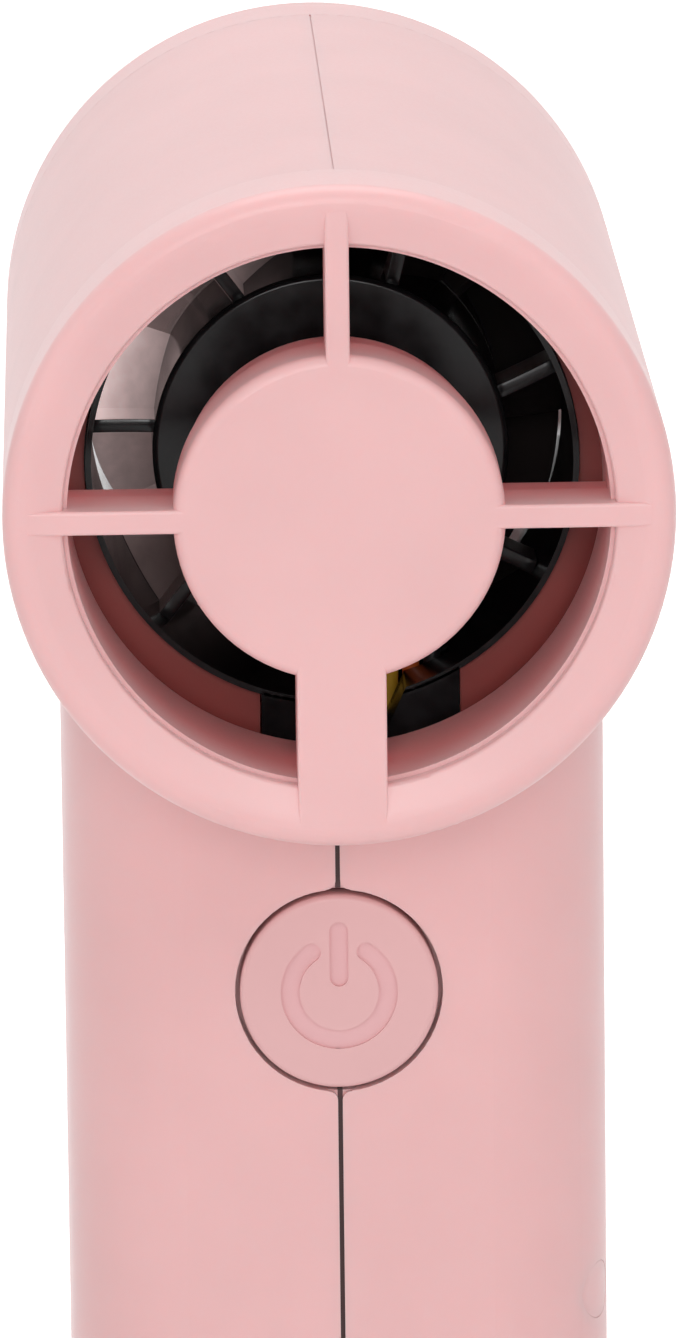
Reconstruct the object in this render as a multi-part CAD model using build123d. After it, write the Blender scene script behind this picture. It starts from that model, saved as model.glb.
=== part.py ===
"""Pocket turbo fan shaped like a hair dryer: a split barrel-and-handle housing around a ducted fan.

Frame: origin at the centre of the flat base, +Z up along the handle, -Y out of the air outlet and
+X to the right when the outlet faces the viewer. Sizes are in millimetres. The housing halves meet
in the plane X = 0. Depths along the barrel are counted backwards from the plane of the outlet.
"""

import os
from copy import deepcopy
from math import atan2, cos, pi, radians, sin, sqrt, tan

from build123d import *

# ---- Overall form -------------------------------------------------------------------------------
BARREL_R = 21.0
BARREL_LENGTH = 76.5
AXIS_HEIGHT = 102.0
HANDLE_WIDTH = 35.4
HANDLE_DEPTH = 42.0
HANDLE_CORNER_R = 8.0
HANDLE_CROWN_FRONT = 0.8
HANDLE_CROWN_SIDE = 0.5
BASE_EDGE_R = 1.5
WALL = 2.0
OVERCUT = 1.0
ROOT = 0.5

# ---- Joint between the housing halves -----------------------------------------------------------
LIP_THICKNESS = 1.0
LIP_HEIGHT = 1.0
LIP_CLEARANCE = 0.08
SEAM_WIDTH_HANDLE = 0.3
SEAM_WIDTH_BARREL = 0.1
SEAM_DEPTH = 0.5
SCREW_BOSS_R = 2.5
SCREW_HEAD_R = 1.8
SCREW_HEAD_HEIGHT = 1.3
SCREW_SHANK_R = 0.95
SCREW_LENGTH = 9.0
SCREW_CLEARANCE = 0.1
PILOT_CLEARANCE = 0.02
SCREW_HEAD_SEAT = 4.0
LOWER_SCREW_HEIGHT = 13.0
MIDDLE_SCREW_HEIGHT = 46.0
SCREW_BOSS_GAP = 0.6

# ---- Grilles ------------------------------------------------------------------------------------
RIM_DEPTH = 6.5
RIM_EDGE_R = 1.1
RIM_WIDTH = 3.76
OPENING_LIP_DEPTH = 1.4
SPIGOT_WALL = 1.06
SPIGOT_LENGTH = 4.0
SPIGOT_CLEARANCE = 0.1
RIM_LAND = 1.6
DISH_BLEND_R = 3.0
OPENING_EDGE_R = 0.3
DISH_DEPTH = 0.5
HUB_R = 10.36
HUB_EDGE_R = 0.7
HUB_BAND_DEPTH = 4.8
HUB_STEP = 0.45
HUB_DEPTH = 9.3
HUB_SKIN = 1.6
SPOKE_WIDTH = 1.5
LOWER_SPOKE_WIDTH = 5.6
SPOKE_DEPTH = 5.0
SPOKE_BACK_DEPTH = 8.7
SPOKE_STEP = 0.3
SPOKE_EDGE_R = 0.2
INTAKE_RING_GAP = 3.6
INTAKE_BAR = 1.2
INTAKE_RIB_COUNT = 12
INTAKE_BAR_DEPTH = 2.4
INTAKE_HUB_R = 3.2
INTAKE_RECESS = 0.8
SNAP_COUNT = 4
SNAP_WIDTH = 4.0
SNAP_LENGTH = 1.4
SNAP_HEIGHT = 0.7
SNAP_CLEARANCE = 0.12

# ---- Fan duct and stator vanes ------------------------------------------------------------------
DUCT_FRONT = 22.0
DUCT_LENGTH = 30.0
DUCT_SPACE = 2.0
DUCT_WALL = 1.1
DUCT_EDGE_R = 0.3
DUCT_FLANGE_THICKNESS = 1.2
DUCT_FLANGE_CLEARANCE = 0.15
DUCT_INLET_R = 0.8
COLLAR_HEIGHT = 0.9
COLLAR_WIDTH = 1.0
COLLAR_CLEARANCE = 0.1
CRADLE_WIDTH = 2.0
CRADLE_CLEARANCE = 0.08
FRONT_CRADLE_DEPTH = 4.5
REAR_CRADLE_DEPTH = 25.0
VANE_COUNT = 7
VANE_START_ANGLE = 170.3
VANE_WRAP = -18.0
VANE_SWEEP = 4.5
VANE_THICKNESS = 1.0
VANE_FRONT_SETBACK = 1.5
CUP_R = 11.45
CUP_BORE_R = 10.3
CUP_LENGTH = 13.5
CUP_FLOOR = 1.5
CUP_EDGE_R = 0.4
CUP_INNER_EDGE_R = 0.2
SADDLE_WIDTH = 12.7
SADDLE_ANGLE = 5.2
SADDLE_LENGTH = 12.0
SADDLE_CLEARANCE = 0.1

# ---- Motor --------------------------------------------------------------------------------------
SHAFT_R = 1.0
SHAFT_RUNNING_CLEARANCE = 0.03
BEARING_R = 3.0
BEARING_WIDTH = 2.5
BEARING_SEAT_CLEARANCE = 0.01
BEARING_SHOULDER = 0.6
BEARING_FACE_SETBACK = 0.4
SHIELD_INSET = 0.45
SHIELD_RECESS = 0.15
TUBE_WALL = 1.0
FRONT_BEARING_DEPTH = 30.0
REAR_BEARING_DEPTH = 44.0
CORE_R = 8.0
CORE_LENGTH = 6.0
CORE_YOKE_R = 5.2
TOOTH_COUNT = 9
TOOTH_WIDTH = 1.5
TOOTH_TIP_THICKNESS = 0.7
SLOT_OPENING = 1.1
COIL_THICKNESS = 0.65
COIL_CLEARANCE = 0.05
COIL_ROOT_GAP = 0.25
COIL_ROUNDING = 0.9
CORE_FIT = 0.02
AIR_GAP = 0.35
MAGNET_THICKNESS = 0.95
BELL_WALL = 0.65
BELL_CLEARANCE = 0.02
BELL_EDGE_R = 0.5
SHAFT_FIT = 0.005
MAGNET_OVERHANG = 0.5
ROTOR_GAP = 0.8
BELL_LENGTH = 11.6
BELL_PLATE = 1.0
IMPELLER_PLATE = 1.5
NOSE_HEIGHT = 3.6
CLIP_R = 2.1
CLIP_THICKNESS = 0.5
CLIP_GAP = 0.1
CLIP_GROOVE_DEPTH = 0.25
CLIP_FIT = 0.02
CLIP_MOUTH = 0.8
SHAFT_END_LENGTH = 0.5
SHAFT_BOSS_DEPTH = 1.2
BLADE_COUNT = 11
BLADE_WRAP = 32.0
BLADE_THICKNESS = 0.7
BLADE_LENGTH = 11.0
BLADE_SETBACK = 0.4
FOIL_BOW = 0.12
TIP_CLEARANCE = 0.35
MOTOR_BOARD_THICKNESS = 1.0
MOTOR_BOARD_STANDOFF = 1.5
MOTOR_BOARD_CLEARANCE = 0.4
MOTOR_POST_COUNT = 3
MOTOR_POST_R = 0.9

# ---- Motor leads --------------------------------------------------------------------------------
LEAD_R = 0.55
LEAD_PITCH = 1.35
LEAD_FIRST_X = 3.9
LEAD_SPREAD = 0.45
LEAD_LEAN = 0.27
BEND_SHARE = 0.45
LEAD_RUN_DEPTH = 24.3
LEAD_PAD_DROP = 6.5
LEAD_KINK_DROP = 16.5
LEAD_HOLE_CLEARANCE = 0.35

# ---- Power button -------------------------------------------------------------------------------
BUTTON_DROP = 34.4
BUTTON_R = 6.4
BUTTON_GAP = 0.3
BUTTON_PROUD = 0.3
BUTTON_EDGE_R = 0.4
BUTTON_TRAVEL = 0.4
FLANGE_WIDTH = 0.9
FLANGE_THICKNESS = 0.8
FLANGE_REST_GAP = 0.15
STEM_R = 1.6
STEM_LENGTH = 2.0
BUTTON_COLLAR_WALL = 1.0
BUTTON_COLLAR_DEPTH = 2.0
BUTTON_HOLE_CORNER_R = 0.6
FLARE_OVERLAP = 0.2
SWITCH_SIZE = 6.0
SWITCH_HEIGHT = 3.5
PLUNGER_R = 1.6
PLUNGER_REACH = 1.2
PLUNGER_GUIDE = 0.8
PLUNGER_CLEARANCE = 0.08
PLUNGER_END_GAP = 0.2

# ---- Control board and sockets ------------------------------------------------------------------
BOARD_WIDTH = 22.0
BOARD_THICKNESS = 1.2
BOARD_BOTTOM = 2.6
BOARD_TOP = 78.0
BOARD_CLEARANCE = 0.1
RAIL_GRIP = 1.2
RAIL_WALL = 1.4
RAIL_BOTTOM = 16.0
RAIL_TOP = 58.0
USB_WIDTH = 8.94
USB_HEIGHT = 3.26
USB_LENGTH = 7.35
USB_SKIN = 0.3
USB_TONGUE_WIDTH = 6.69
USB_TONGUE_THICKNESS = 0.7
USB_RECESS = 0.5
USB_HOLE_CLEARANCE = 0.2
USB_TONGUE_SETBACK = 0.8
LED_OFFSET = 7.8
LED_SIZE = 1.6
LED_STANDOFF = 1.0
LIGHT_PIPE_R = 0.9
LIGHT_PIPE_CLEARANCE = 0.05
LIGHT_PIPE_RECESS = 0.1
LIGHT_PIPE_HEAD = 0.5
PLUG_LENGTH = 5.5
PLUG_DEPTH = 4.9
PLUG_MARGIN = 1.4
PLUG_SETBACK = 0.5
INDUCTOR_SIZE = 6.0
INDUCTOR_HEIGHT = 3.0
INDUCTOR_CORNER = 1.0
INDUCTOR_X = 5.0
INDUCTOR_Z = 50.0
CAPACITOR_R = 2.5
CAPACITOR_HEIGHT = 5.4
CAPACITOR_X = 5.5
CAPACITOR_Z = 34.0
CHIP_SIZE = 4.0
CHIP_HEIGHT = 0.9
CHIP_X = 5.5
UPPER_CHIP_Z = 66.0
LOWER_CHIP_Z = 24.0

# ---- Battery ------------------------------------------------------------------------------------
CELL_R = 9.25
CELL_BOTTOM = 9.0
CELL_LENGTH = 65.0
CELL_SET_BACK = 7.5
CELL_CLEARANCE = 0.15
NUB_R = 3.0
NUB_HEIGHT = 0.8
CELL_EDGE_R = 0.5
RING_MARGIN = 0.6
RING_GAP = 0.2
RING_THICKNESS = 0.3
TAB_THICKNESS = 0.2
TAB_WIDTH = 5.0
TAB_REACH = 11.5
TAB_OVERLAP = 3.0
TAB_MARGIN = 1.0
PAD_THICKNESS = 1.2
PAD_SIZE = 9.0
CRADLE_RIB = 1.2
CRADLE_RIB_HEIGHTS = (22.0, 40.0, 58.0)
CRADLE_REACH = 13.5
BATTERY_LEAD_R = 0.6
BATTERY_LEAD_X = 3.6
BATTERY_LEAD_RISE = 3.5

# ---- Derived places -----------------------------------------------------------------------------
OUTLET_Y = -BARREL_LENGTH / 2
HANDLE_FRONT_Y = -HANDLE_DEPTH / 2
BORE_R = BARREL_R - WALL
OPENING_R = BARREL_R - RIM_WIDTH
DISH_START_R = BARREL_R - RIM_LAND
SPIGOT_BORE_R = BORE_R - SPIGOT_CLEARANCE - SPIGOT_WALL
DUCT_R = BORE_R - DUCT_SPACE
DUCT_BORE_R = DUCT_R - DUCT_WALL
BUTTON_Z = AXIS_HEIGHT - BUTTON_DROP
BUTTON_FACE_Y = HANDLE_FRONT_Y - BUTTON_PROUD
FLANGE_FRONT_Y = HANDLE_FRONT_Y + WALL + FLANGE_REST_GAP
FLANGE_BACK_Y = FLANGE_FRONT_Y + FLANGE_THICKNESS
PLUNGER_FRONT_Y = FLANGE_BACK_Y + STEM_LENGTH
SWITCH_FRONT_Y = PLUNGER_FRONT_Y + PLUNGER_REACH
BOARD_FRONT_Y = SWITCH_FRONT_Y + SWITCH_HEIGHT
BOARD_BACK_Y = BOARD_FRONT_Y + BOARD_THICKNESS
CUP_FLOOR_FRONT = DUCT_FRONT + CUP_LENGTH - CUP_FLOOR
CUP_FLOOR_BACK = DUCT_FRONT + CUP_LENGTH
TUBE_R = BEARING_R + TUBE_WALL
TUBE_BACK = REAR_BEARING_DEPTH + BEARING_WIDTH
BELL_FRONT = CUP_FLOOR_BACK + ROTOR_GAP
BELL_BACK = BELL_FRONT + BELL_LENGTH
MAGNET_BORE_R = CORE_R + AIR_GAP
BELL_BORE_R = MAGNET_BORE_R + MAGNET_THICKNESS
BELL_R = BELL_BORE_R + BELL_WALL
CORE_FRONT = (CUP_FLOOR_BACK + BELL_BACK - BELL_PLATE - CORE_LENGTH) / 2
MOTOR_BOARD_BACK = CUP_FLOOR_FRONT - MOTOR_BOARD_STANDOFF
MOTOR_BOARD_FRONT = MOTOR_BOARD_BACK - MOTOR_BOARD_THICKNESS
LEAD_COUNT = 3
CELL_TOP = CELL_BOTTOM + CELL_LENGTH
SADDLE_X = (DUCT_R + BORE_R) / 2 * sin(radians(SADDLE_ANGLE))
SCREW_Y = HANDLE_FRONT_Y + WALL + SCREW_BOSS_GAP + SCREW_BOSS_R
UPPER_SCREW_Y = CELL_SET_BACK + PAD_SIZE / 2 + SCREW_BOSS_GAP + SCREW_BOSS_R
UPPER_SCREW_HEIGHT = CELL_TOP + SCREW_BOSS_GAP + SCREW_BOSS_R
SCREW_PLACES = (
    (SCREW_Y, LOWER_SCREW_HEIGHT),
    (SCREW_Y, MIDDLE_SCREW_HEIGHT),
    (UPPER_SCREW_Y, UPPER_SCREW_HEIGHT),
)


# ---- Helpers ------------------------------------------------------------------------------------
def depth(distance):
    """World Y of a plane this far behind the outlet plane."""
    return OUTLET_Y + distance


def block(x0, x1, y0, y1, z0, z1):
    """Box between two corners."""
    return Pos((x0 + x1) / 2, (y0 + y1) / 2, (z0 + z1) / 2) * Box(x1 - x0, y1 - y0, z1 - z0)


def rod_x(radius, x0, x1, y, z):
    """Cylinder along X."""
    return Pos((x0 + x1) / 2, y, z) * Rot(0, 90, 0) * Cylinder(radius, x1 - x0)


def rod_y(radius, y0, y1, x=0.0, z=AXIS_HEIGHT):
    """Cylinder along Y, on the barrel's axis unless placed elsewhere."""
    return Pos(x, (y0 + y1) / 2, z) * Rot(90, 0, 0) * Cylinder(radius, y1 - y0)


def rod_z(radius, z0, z1, x=0.0, y=0.0):
    """Cylinder along Z."""
    return Pos(x, y, (z0 + z1) / 2) * Cylinder(radius, z1 - z0)


def ring_y(outer, inner, near, far):
    """Ring on the barrel's axis between two depths."""
    return rod_y(outer, depth(near), depth(far)) - rod_y(inner, depth(near) - OVERCUT, depth(far) + OVERCUT)


def turned(points, radii=None):
    """Solid of revolution about the barrel's axis, from (radius, depth) points and corner radii."""
    radii = radii or [0.0] * len(points)
    outline = FilletPolyline(*[(r, depth(d)) for r, d in points], radius=radii, close=True)
    face = Plane(origin=(0, 0, AXIS_HEIGHT)) * make_face(outline)
    return revolve(face, Axis((0, 0, AXIS_HEIGHT), (0, 1, 0)))


def around_axis(shape, angle):
    """Copy turned about the barrel's axis, anticlockwise for a viewer in front of the outlet."""
    centre = Pos(0, 0, AXIS_HEIGHT)
    return centre * Rot(0, -angle, 0) * Pos(0, 0, -AXIS_HEIGHT) * shape


def wire_solid(points, radii, radius):
    """Round lead along straight runs joined by tangent arcs."""
    path = FilletPolyline(*points, radius=radii)
    start = Plane(origin=path @ 0, z_dir=path % 0)
    solid = sweep(start * Circle(radius), path)
    expected = pi * radius**2 * path.length
    print("lead radii", [round(r, 1) for r in radii], "volume ratio", round(solid.volume / expected, 4))
    return solid


def save(name, shape):
    """Write one node; a group keeps its separate solids."""
    export_step(shape, f"parts/{name}.step")


# ---- Housing ------------------------------------------------------------------------------------
def handle_section(inset):
    """Crowned rounded rectangle of the handle, moved in by inset."""
    half_x = HANDLE_WIDTH / 2
    half_y = HANDLE_DEPTH / 2
    side_x = half_x - HANDLE_CROWN_SIDE
    end_y = half_y - HANDLE_CROWN_FRONT
    front = ThreePointArc((-side_x, -end_y), (0, -half_y), (side_x, -end_y))
    right = ThreePointArc((side_x, -end_y), (half_x, 0), (side_x, end_y))
    back = ThreePointArc((side_x, end_y), (0, half_y), (-side_x, end_y))
    left = ThreePointArc((-side_x, end_y), (-half_x, 0), (-side_x, -end_y))
    face = make_face(Curve() + [front, right, back, left])
    face = fillet(face.vertices(), HANDLE_CORNER_R)
    return offset(face, -inset) if inset else face


def handle_prism(inset, floor):
    """Handle from a floor height up to the barrel's axis."""
    return Pos(0, 0, floor) * extrude(handle_section(inset), AXIS_HEIGHT - floor)


def barrel_rod(radius):
    """Cylinder over the stretch of the barrel that the housing halves form."""
    return rod_y(radius, depth(RIM_DEPTH), depth(BARREL_LENGTH - RIM_DEPTH))


def rounded_handle():
    """Outer form of the handle with its base edge rounded."""
    prism = handle_prism(0.0, 0.0)
    return fillet(prism.faces().sort_by(Axis.Z)[0].edges(), BASE_EDGE_R)


def handle_cavity():
    """Hollow of the handle below the barrel."""
    return handle_prism(WALL, WALL) - barrel_rod(BARREL_R)


def housing_blank():
    """Both halves in one, before they are split, with ribs, bosses, rails and openings."""
    blank = barrel_rod(BARREL_R) + rounded_handle()
    blank -= handle_cavity()
    blank -= rod_y(BORE_R, depth(0), depth(BARREL_LENGTH))
    ribs = duct_cradles() + cell_cradle() + board_rails() + button_collar()
    blank += ribs & (handle_cavity() + barrel_rod(BORE_R))
    blank -= saddle_envelope(SADDLE_CLEARANCE) + lead_slot()
    blank -= seam_grooves()
    blank -= snap_lugs(SNAP_CLEARANCE, RIM_DEPTH + SPIGOT_LENGTH / 2)
    blank -= snap_lugs(SNAP_CLEARANCE, BARREL_LENGTH - RIM_DEPTH - SPIGOT_LENGTH / 2)
    blank -= button_hole() + seam_flares()
    blank -= base_openings()
    return blank


def duct_cradles():
    """Two hoops that hold the fan duct clear of the barrel's wall."""
    hoops = Part()
    for start in (DUCT_FRONT + FRONT_CRADLE_DEPTH, DUCT_FRONT + REAR_CRADLE_DEPTH):
        hoops += ring_y(BARREL_R, DUCT_R + CRADLE_CLEARANCE, start, start + CRADLE_WIDTH)
    return hoops


def cell_cradle():
    """Shelves shaped to the cell, and posts under and over its end pads."""
    back_y = HANDLE_DEPTH / 2
    front_y = CELL_SET_BACK - CRADLE_REACH
    cradle = Part()
    for height in CRADLE_RIB_HEIGHTS:
        cradle += block(-HANDLE_WIDTH / 2, HANDLE_WIDTH / 2, front_y, back_y, height, height + CRADLE_RIB)
    cradle -= rod_z(CELL_R + CELL_CLEARANCE, 0, AXIS_HEIGHT, 0, CELL_SET_BACK)
    reach = PAD_SIZE / 2
    low_pad = CELL_BOTTOM - TAB_THICKNESS - PAD_THICKNESS
    high_pad = CELL_TOP + TAB_THICKNESS + PAD_THICKNESS
    cradle += block(-reach, reach, CELL_SET_BACK - reach, CELL_SET_BACK + reach, 0, low_pad)
    cradle += block(
        -HANDLE_WIDTH / 2,
        HANDLE_WIDTH / 2,
        CELL_SET_BACK - reach,
        CELL_SET_BACK + reach,
        high_pad,
        high_pad + CRADLE_RIB,
    )
    return cradle


def board_rails():
    """Grooved rails that take the long edges of the control board."""
    slot_front = BOARD_FRONT_Y - BOARD_CLEARANCE
    slot_back = BOARD_BACK_Y + BOARD_CLEARANCE
    inner_x = BOARD_WIDTH / 2 - RAIL_GRIP
    rails = block(
        -HANDLE_WIDTH / 2,
        HANDLE_WIDTH / 2,
        slot_front - RAIL_WALL,
        slot_back + RAIL_WALL,
        RAIL_BOTTOM,
        RAIL_TOP,
    )
    rails -= block(
        -inner_x,
        inner_x,
        slot_front - RAIL_WALL - OVERCUT,
        slot_back + RAIL_WALL + OVERCUT,
        RAIL_BOTTOM - OVERCUT,
        RAIL_TOP + OVERCUT,
    )
    half_slot = BOARD_WIDTH / 2 + BOARD_CLEARANCE
    slot = block(-half_slot, half_slot, slot_front, slot_back, RAIL_BOTTOM - OVERCUT, RAIL_TOP + OVERCUT)
    return rails - slot


def button_collar():
    """Guide ring behind the button hole."""
    inner = BUTTON_R + FLANGE_WIDTH + BUTTON_GAP
    front = HANDLE_FRONT_Y + WALL / 2
    back = HANDLE_FRONT_Y + WALL + BUTTON_COLLAR_DEPTH
    return rod_y(inner + BUTTON_COLLAR_WALL, front, back, 0, BUTTON_Z)


def button_hole():
    """Hole for the cap and the pocket for its flange."""
    back = HANDLE_FRONT_Y + WALL + BUTTON_COLLAR_DEPTH + OVERCUT
    hole = rod_y(BUTTON_R + BUTTON_GAP, HANDLE_FRONT_Y - OVERCUT, back, 0, BUTTON_Z)
    pocket_r = BUTTON_R + FLANGE_WIDTH + BUTTON_GAP
    return hole + rod_y(pocket_r, HANDLE_FRONT_Y + WALL, back, 0, BUTTON_Z)


def base_openings():
    """Hole for the charging socket and the light pipe in the floor."""
    socket = usb_prism(USB_HOLE_CLEARANCE, -OVERCUT, WALL + OVERCUT)
    pipe_r = LIGHT_PIPE_R + LIGHT_PIPE_CLEARANCE
    pipe = rod_z(pipe_r, -OVERCUT, WALL + OVERCUT, LED_OFFSET, usb_y())
    return socket + pipe


def seam_grooves():
    """Narrow outer groove where the halves meet."""
    barrel = barrel_rod(BARREL_R + OVERCUT) - barrel_rod(BARREL_R - SEAM_DEPTH)
    handle = handle_prism(-OVERCUT, -OVERCUT) - handle_prism(SEAM_DEPTH, SEAM_DEPTH)
    handle -= barrel_rod(BARREL_R)
    half_h = SEAM_WIDTH_HANDLE / 2
    half_b = SEAM_WIDTH_BARREL / 2
    tall = AXIS_HEIGHT + BARREL_R + OVERCUT
    long = BARREL_LENGTH
    barrel &= block(-half_b, half_b, -long, long, 0, tall)
    handle &= block(-half_h, half_h, -long, long, -OVERCUT, AXIS_HEIGHT)
    return barrel + handle


def lead_slot():
    """Slot in the barrel's lower wall under the saddle, for the motor leads."""
    x0, x1 = lead_hole_x()
    y0, y1 = lead_hole_y()
    low = AXIS_HEIGHT - BARREL_R - OVERCUT
    return block(x0, x1, y0, y1, low, AXIS_HEIGHT - DUCT_R)


def seam_lip(clearance):
    """Inner half of the wall that one housing half carries past the seam."""
    outer = WALL - LIP_THICKNESS - clearance
    lip = barrel_rod(BARREL_R - outer) + handle_prism(outer, outer)
    lip -= handle_cavity()
    lip -= rod_y(BORE_R, depth(0), depth(BARREL_LENGTH))
    height = LIP_HEIGHT + clearance
    lip &= block(0, height, OUTLET_Y, -OUTLET_Y, 0, AXIS_HEIGHT + BARREL_R)
    return lip


def half_room(side):
    """Everything on one side of the seam plane."""
    size = BARREL_LENGTH
    x0, x1 = (-size, 0) if side < 0 else (0, size)
    return block(x0, x1, -size, size, -OVERCUT, AXIS_HEIGHT + BARREL_R + OVERCUT)


def seam_flares():
    """Rounded corners where the seam groove runs into the button hole."""
    radius = BUTTON_HOLE_CORNER_R
    edge_x = SEAM_WIDTH_HANDLE / 2
    reach = BUTTON_R + BUTTON_GAP
    front = HANDLE_FRONT_Y - OVERCUT
    back = HANDLE_FRONT_Y + SEAM_DEPTH
    flare = block(0, edge_x + radius, front, back, reach - FLARE_OVERLAP, reach + radius)
    flare -= rod_y(radius, front - OVERCUT, back + OVERCUT, edge_x + radius, reach + radius)
    pair = flare + mirror(flare, Plane.YZ)
    return Pos(0, 0, BUTTON_Z) * (pair + mirror(pair, Plane.XY))


def screw_tower(side, y, z):
    """Boss between one side wall and the seam, rooted half-way into the wall."""
    tower = rod_x(SCREW_BOSS_R, -HANDLE_WIDTH, HANDLE_WIDTH, y, z)
    return tower & handle_prism(WALL / 2, WALL / 2) & half_room(side)


def left_half(blank):
    """Left shell: carries the lip and the screw pilot holes."""
    openings = button_hole() + base_openings() + saddle_envelope(SADDLE_CLEARANCE) + lead_slot()
    half = (blank & half_room(-1)) + (seam_lip(0.0) - openings)
    for y, z in SCREW_PLACES:
        half += screw_tower(-1, y, z)
        pilot_end = SCREW_HEAD_SEAT - SCREW_LENGTH - OVERCUT
        half -= rod_x(SCREW_SHANK_R + PILOT_CLEARANCE, pilot_end, 0, y, z)
    return half


def right_half(blank):
    """Right shell: carries the groove for the lip and the screw head recesses."""
    half = (blank & half_room(1)) - seam_lip(LIP_CLEARANCE)
    for y, z in SCREW_PLACES:
        half += screw_tower(1, y, z)
        half -= rod_x(SCREW_SHANK_R + SCREW_CLEARANCE, 0, HANDLE_WIDTH / 2, y, z)
        half -= rod_x(SCREW_HEAD_R + SCREW_CLEARANCE, SCREW_HEAD_SEAT, HANDLE_WIDTH, y, z)
    return half


def shell_screws():
    """Three pan-head screws that pull the halves together."""
    screws = []
    for y, z in SCREW_PLACES:
        shank = rod_x(SCREW_SHANK_R, SCREW_HEAD_SEAT - SCREW_LENGTH, SCREW_HEAD_SEAT, y, z)
        head = rod_x(SCREW_HEAD_R, SCREW_HEAD_SEAT, SCREW_HEAD_SEAT + SCREW_HEAD_HEIGHT, y, z)
        screws.append(shank + head)
    return Compound(children=screws)


# ---- Grilles ------------------------------------------------------------------------------------
def snap_lugs(clearance, middle_depth):
    """Lugs on a spigot, or with clearance the pockets that take them."""
    lugs = Part()
    spigot_r = BORE_R - SPIGOT_CLEARANCE
    for index in range(SNAP_COUNT):
        lug = block(
            -SNAP_WIDTH / 2 - clearance,
            SNAP_WIDTH / 2 + clearance,
            depth(middle_depth) - SNAP_LENGTH / 2 - clearance,
            depth(middle_depth) + SNAP_LENGTH / 2 + clearance,
            AXIS_HEIGHT + spigot_r - ROOT,
            AXIS_HEIGHT + spigot_r + SNAP_HEIGHT + clearance,
        )
        lugs += around_axis(lug, 45 + index * 360 / SNAP_COUNT)
    return lugs & rod_y(spigot_r + SNAP_HEIGHT + clearance, OUTLET_Y, -OUTLET_Y)


def grille_rim():
    """Rounded rim with its dished face, opening lip and spigot."""
    spigot_r = BORE_R - SPIGOT_CLEARANCE
    spigot_back = RIM_DEPTH + SPIGOT_LENGTH
    points = [
        (OPENING_R, DISH_DEPTH),
        (DISH_START_R, 0.0),
        (BARREL_R, 0.0),
        (BARREL_R, RIM_DEPTH),
        (spigot_r, RIM_DEPTH),
        (spigot_r, spigot_back),
        (SPIGOT_BORE_R, spigot_back),
        (SPIGOT_BORE_R, OPENING_LIP_DEPTH),
        (OPENING_R, OPENING_LIP_DEPTH),
    ]
    radii = [OPENING_EDGE_R, DISH_BLEND_R, RIM_EDGE_R, 0.0, 0.0, OPENING_EDGE_R, 0.0, 0.0, 0.0]
    rim = turned(points, radii)
    return rim + snap_lugs(0.0, RIM_DEPTH + SPIGOT_LENGTH / 2)


def outlet_hub():
    """Hollow centre disc with a stepped side."""
    inner_r = HUB_R - HUB_STEP
    points = [
        (0.0, 0.0),
        (HUB_R, 0.0),
        (HUB_R, HUB_BAND_DEPTH),
        (inner_r, HUB_BAND_DEPTH),
        (inner_r, HUB_DEPTH),
        (inner_r - HUB_SKIN, HUB_DEPTH),
        (inner_r - HUB_SKIN, HUB_SKIN),
        (0.0, HUB_SKIN),
    ]
    return turned(points, [0.0, HUB_EDGE_R, 0.0, 0.0, 0.0, 0.0, 0.0, 0.0])


def spoke(width):
    """Upright spoke above the hub, with a thinner rib behind it."""
    low = AXIS_HEIGHT + HUB_R - HUB_SKIN
    high = AXIS_HEIGHT + DISH_START_R
    bore_top = AXIS_HEIGHT + SPIGOT_BORE_R + ROOT
    front = block(-width / 2, width / 2, depth(0), depth(SPOKE_DEPTH), low, high)
    edges = front.faces().sort_by(Axis.Y)[0].edges().filter_by(Axis.Z)
    front = fillet(edges, SPOKE_EDGE_R)
    back_half = width / 2 - SPOKE_STEP
    back = block(-back_half, back_half, depth(SPOKE_DEPTH), depth(SPOKE_BACK_DEPTH), low, bore_top)
    return front + back


def front_grille():
    """Outlet grille: rim, hub and four spokes, the lower one wide enough to hide the leads."""
    grille = grille_rim() + outlet_hub()
    for angle in (0, 90, 270):
        grille += around_axis(spoke(SPOKE_WIDTH), angle)
    grille += around_axis(spoke(LOWER_SPOKE_WIDTH), 180)
    return grille


def rear_grille():
    """Intake grille: the same rim turned round, filled with rings and radial ribs."""
    rim = Rot(0, 0, 180) * grille_rim()
    far = BARREL_LENGTH - INTAKE_RECESS
    near = far - INTAKE_BAR_DEPTH
    grid = rod_y(INTAKE_HUB_R, depth(near), depth(far))
    inner = INTAKE_HUB_R + INTAKE_RING_GAP
    while inner + INTAKE_BAR < OPENING_R - INTAKE_RING_GAP / 2:
        grid += ring_y(inner + INTAKE_BAR, inner, near, far)
        inner += INTAKE_BAR + INTAKE_RING_GAP
    reach = SPIGOT_BORE_R + ROOT
    for index in range(INTAKE_RIB_COUNT):
        rib = block(
            -INTAKE_BAR / 2,
            INTAKE_BAR / 2,
            depth(near),
            depth(far),
            AXIS_HEIGHT + INTAKE_HUB_R - ROOT,
            AXIS_HEIGHT + reach,
        )
        grid += around_axis(rib, index * 360 / INTAKE_RIB_COUNT)
    return rim + grid


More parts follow.
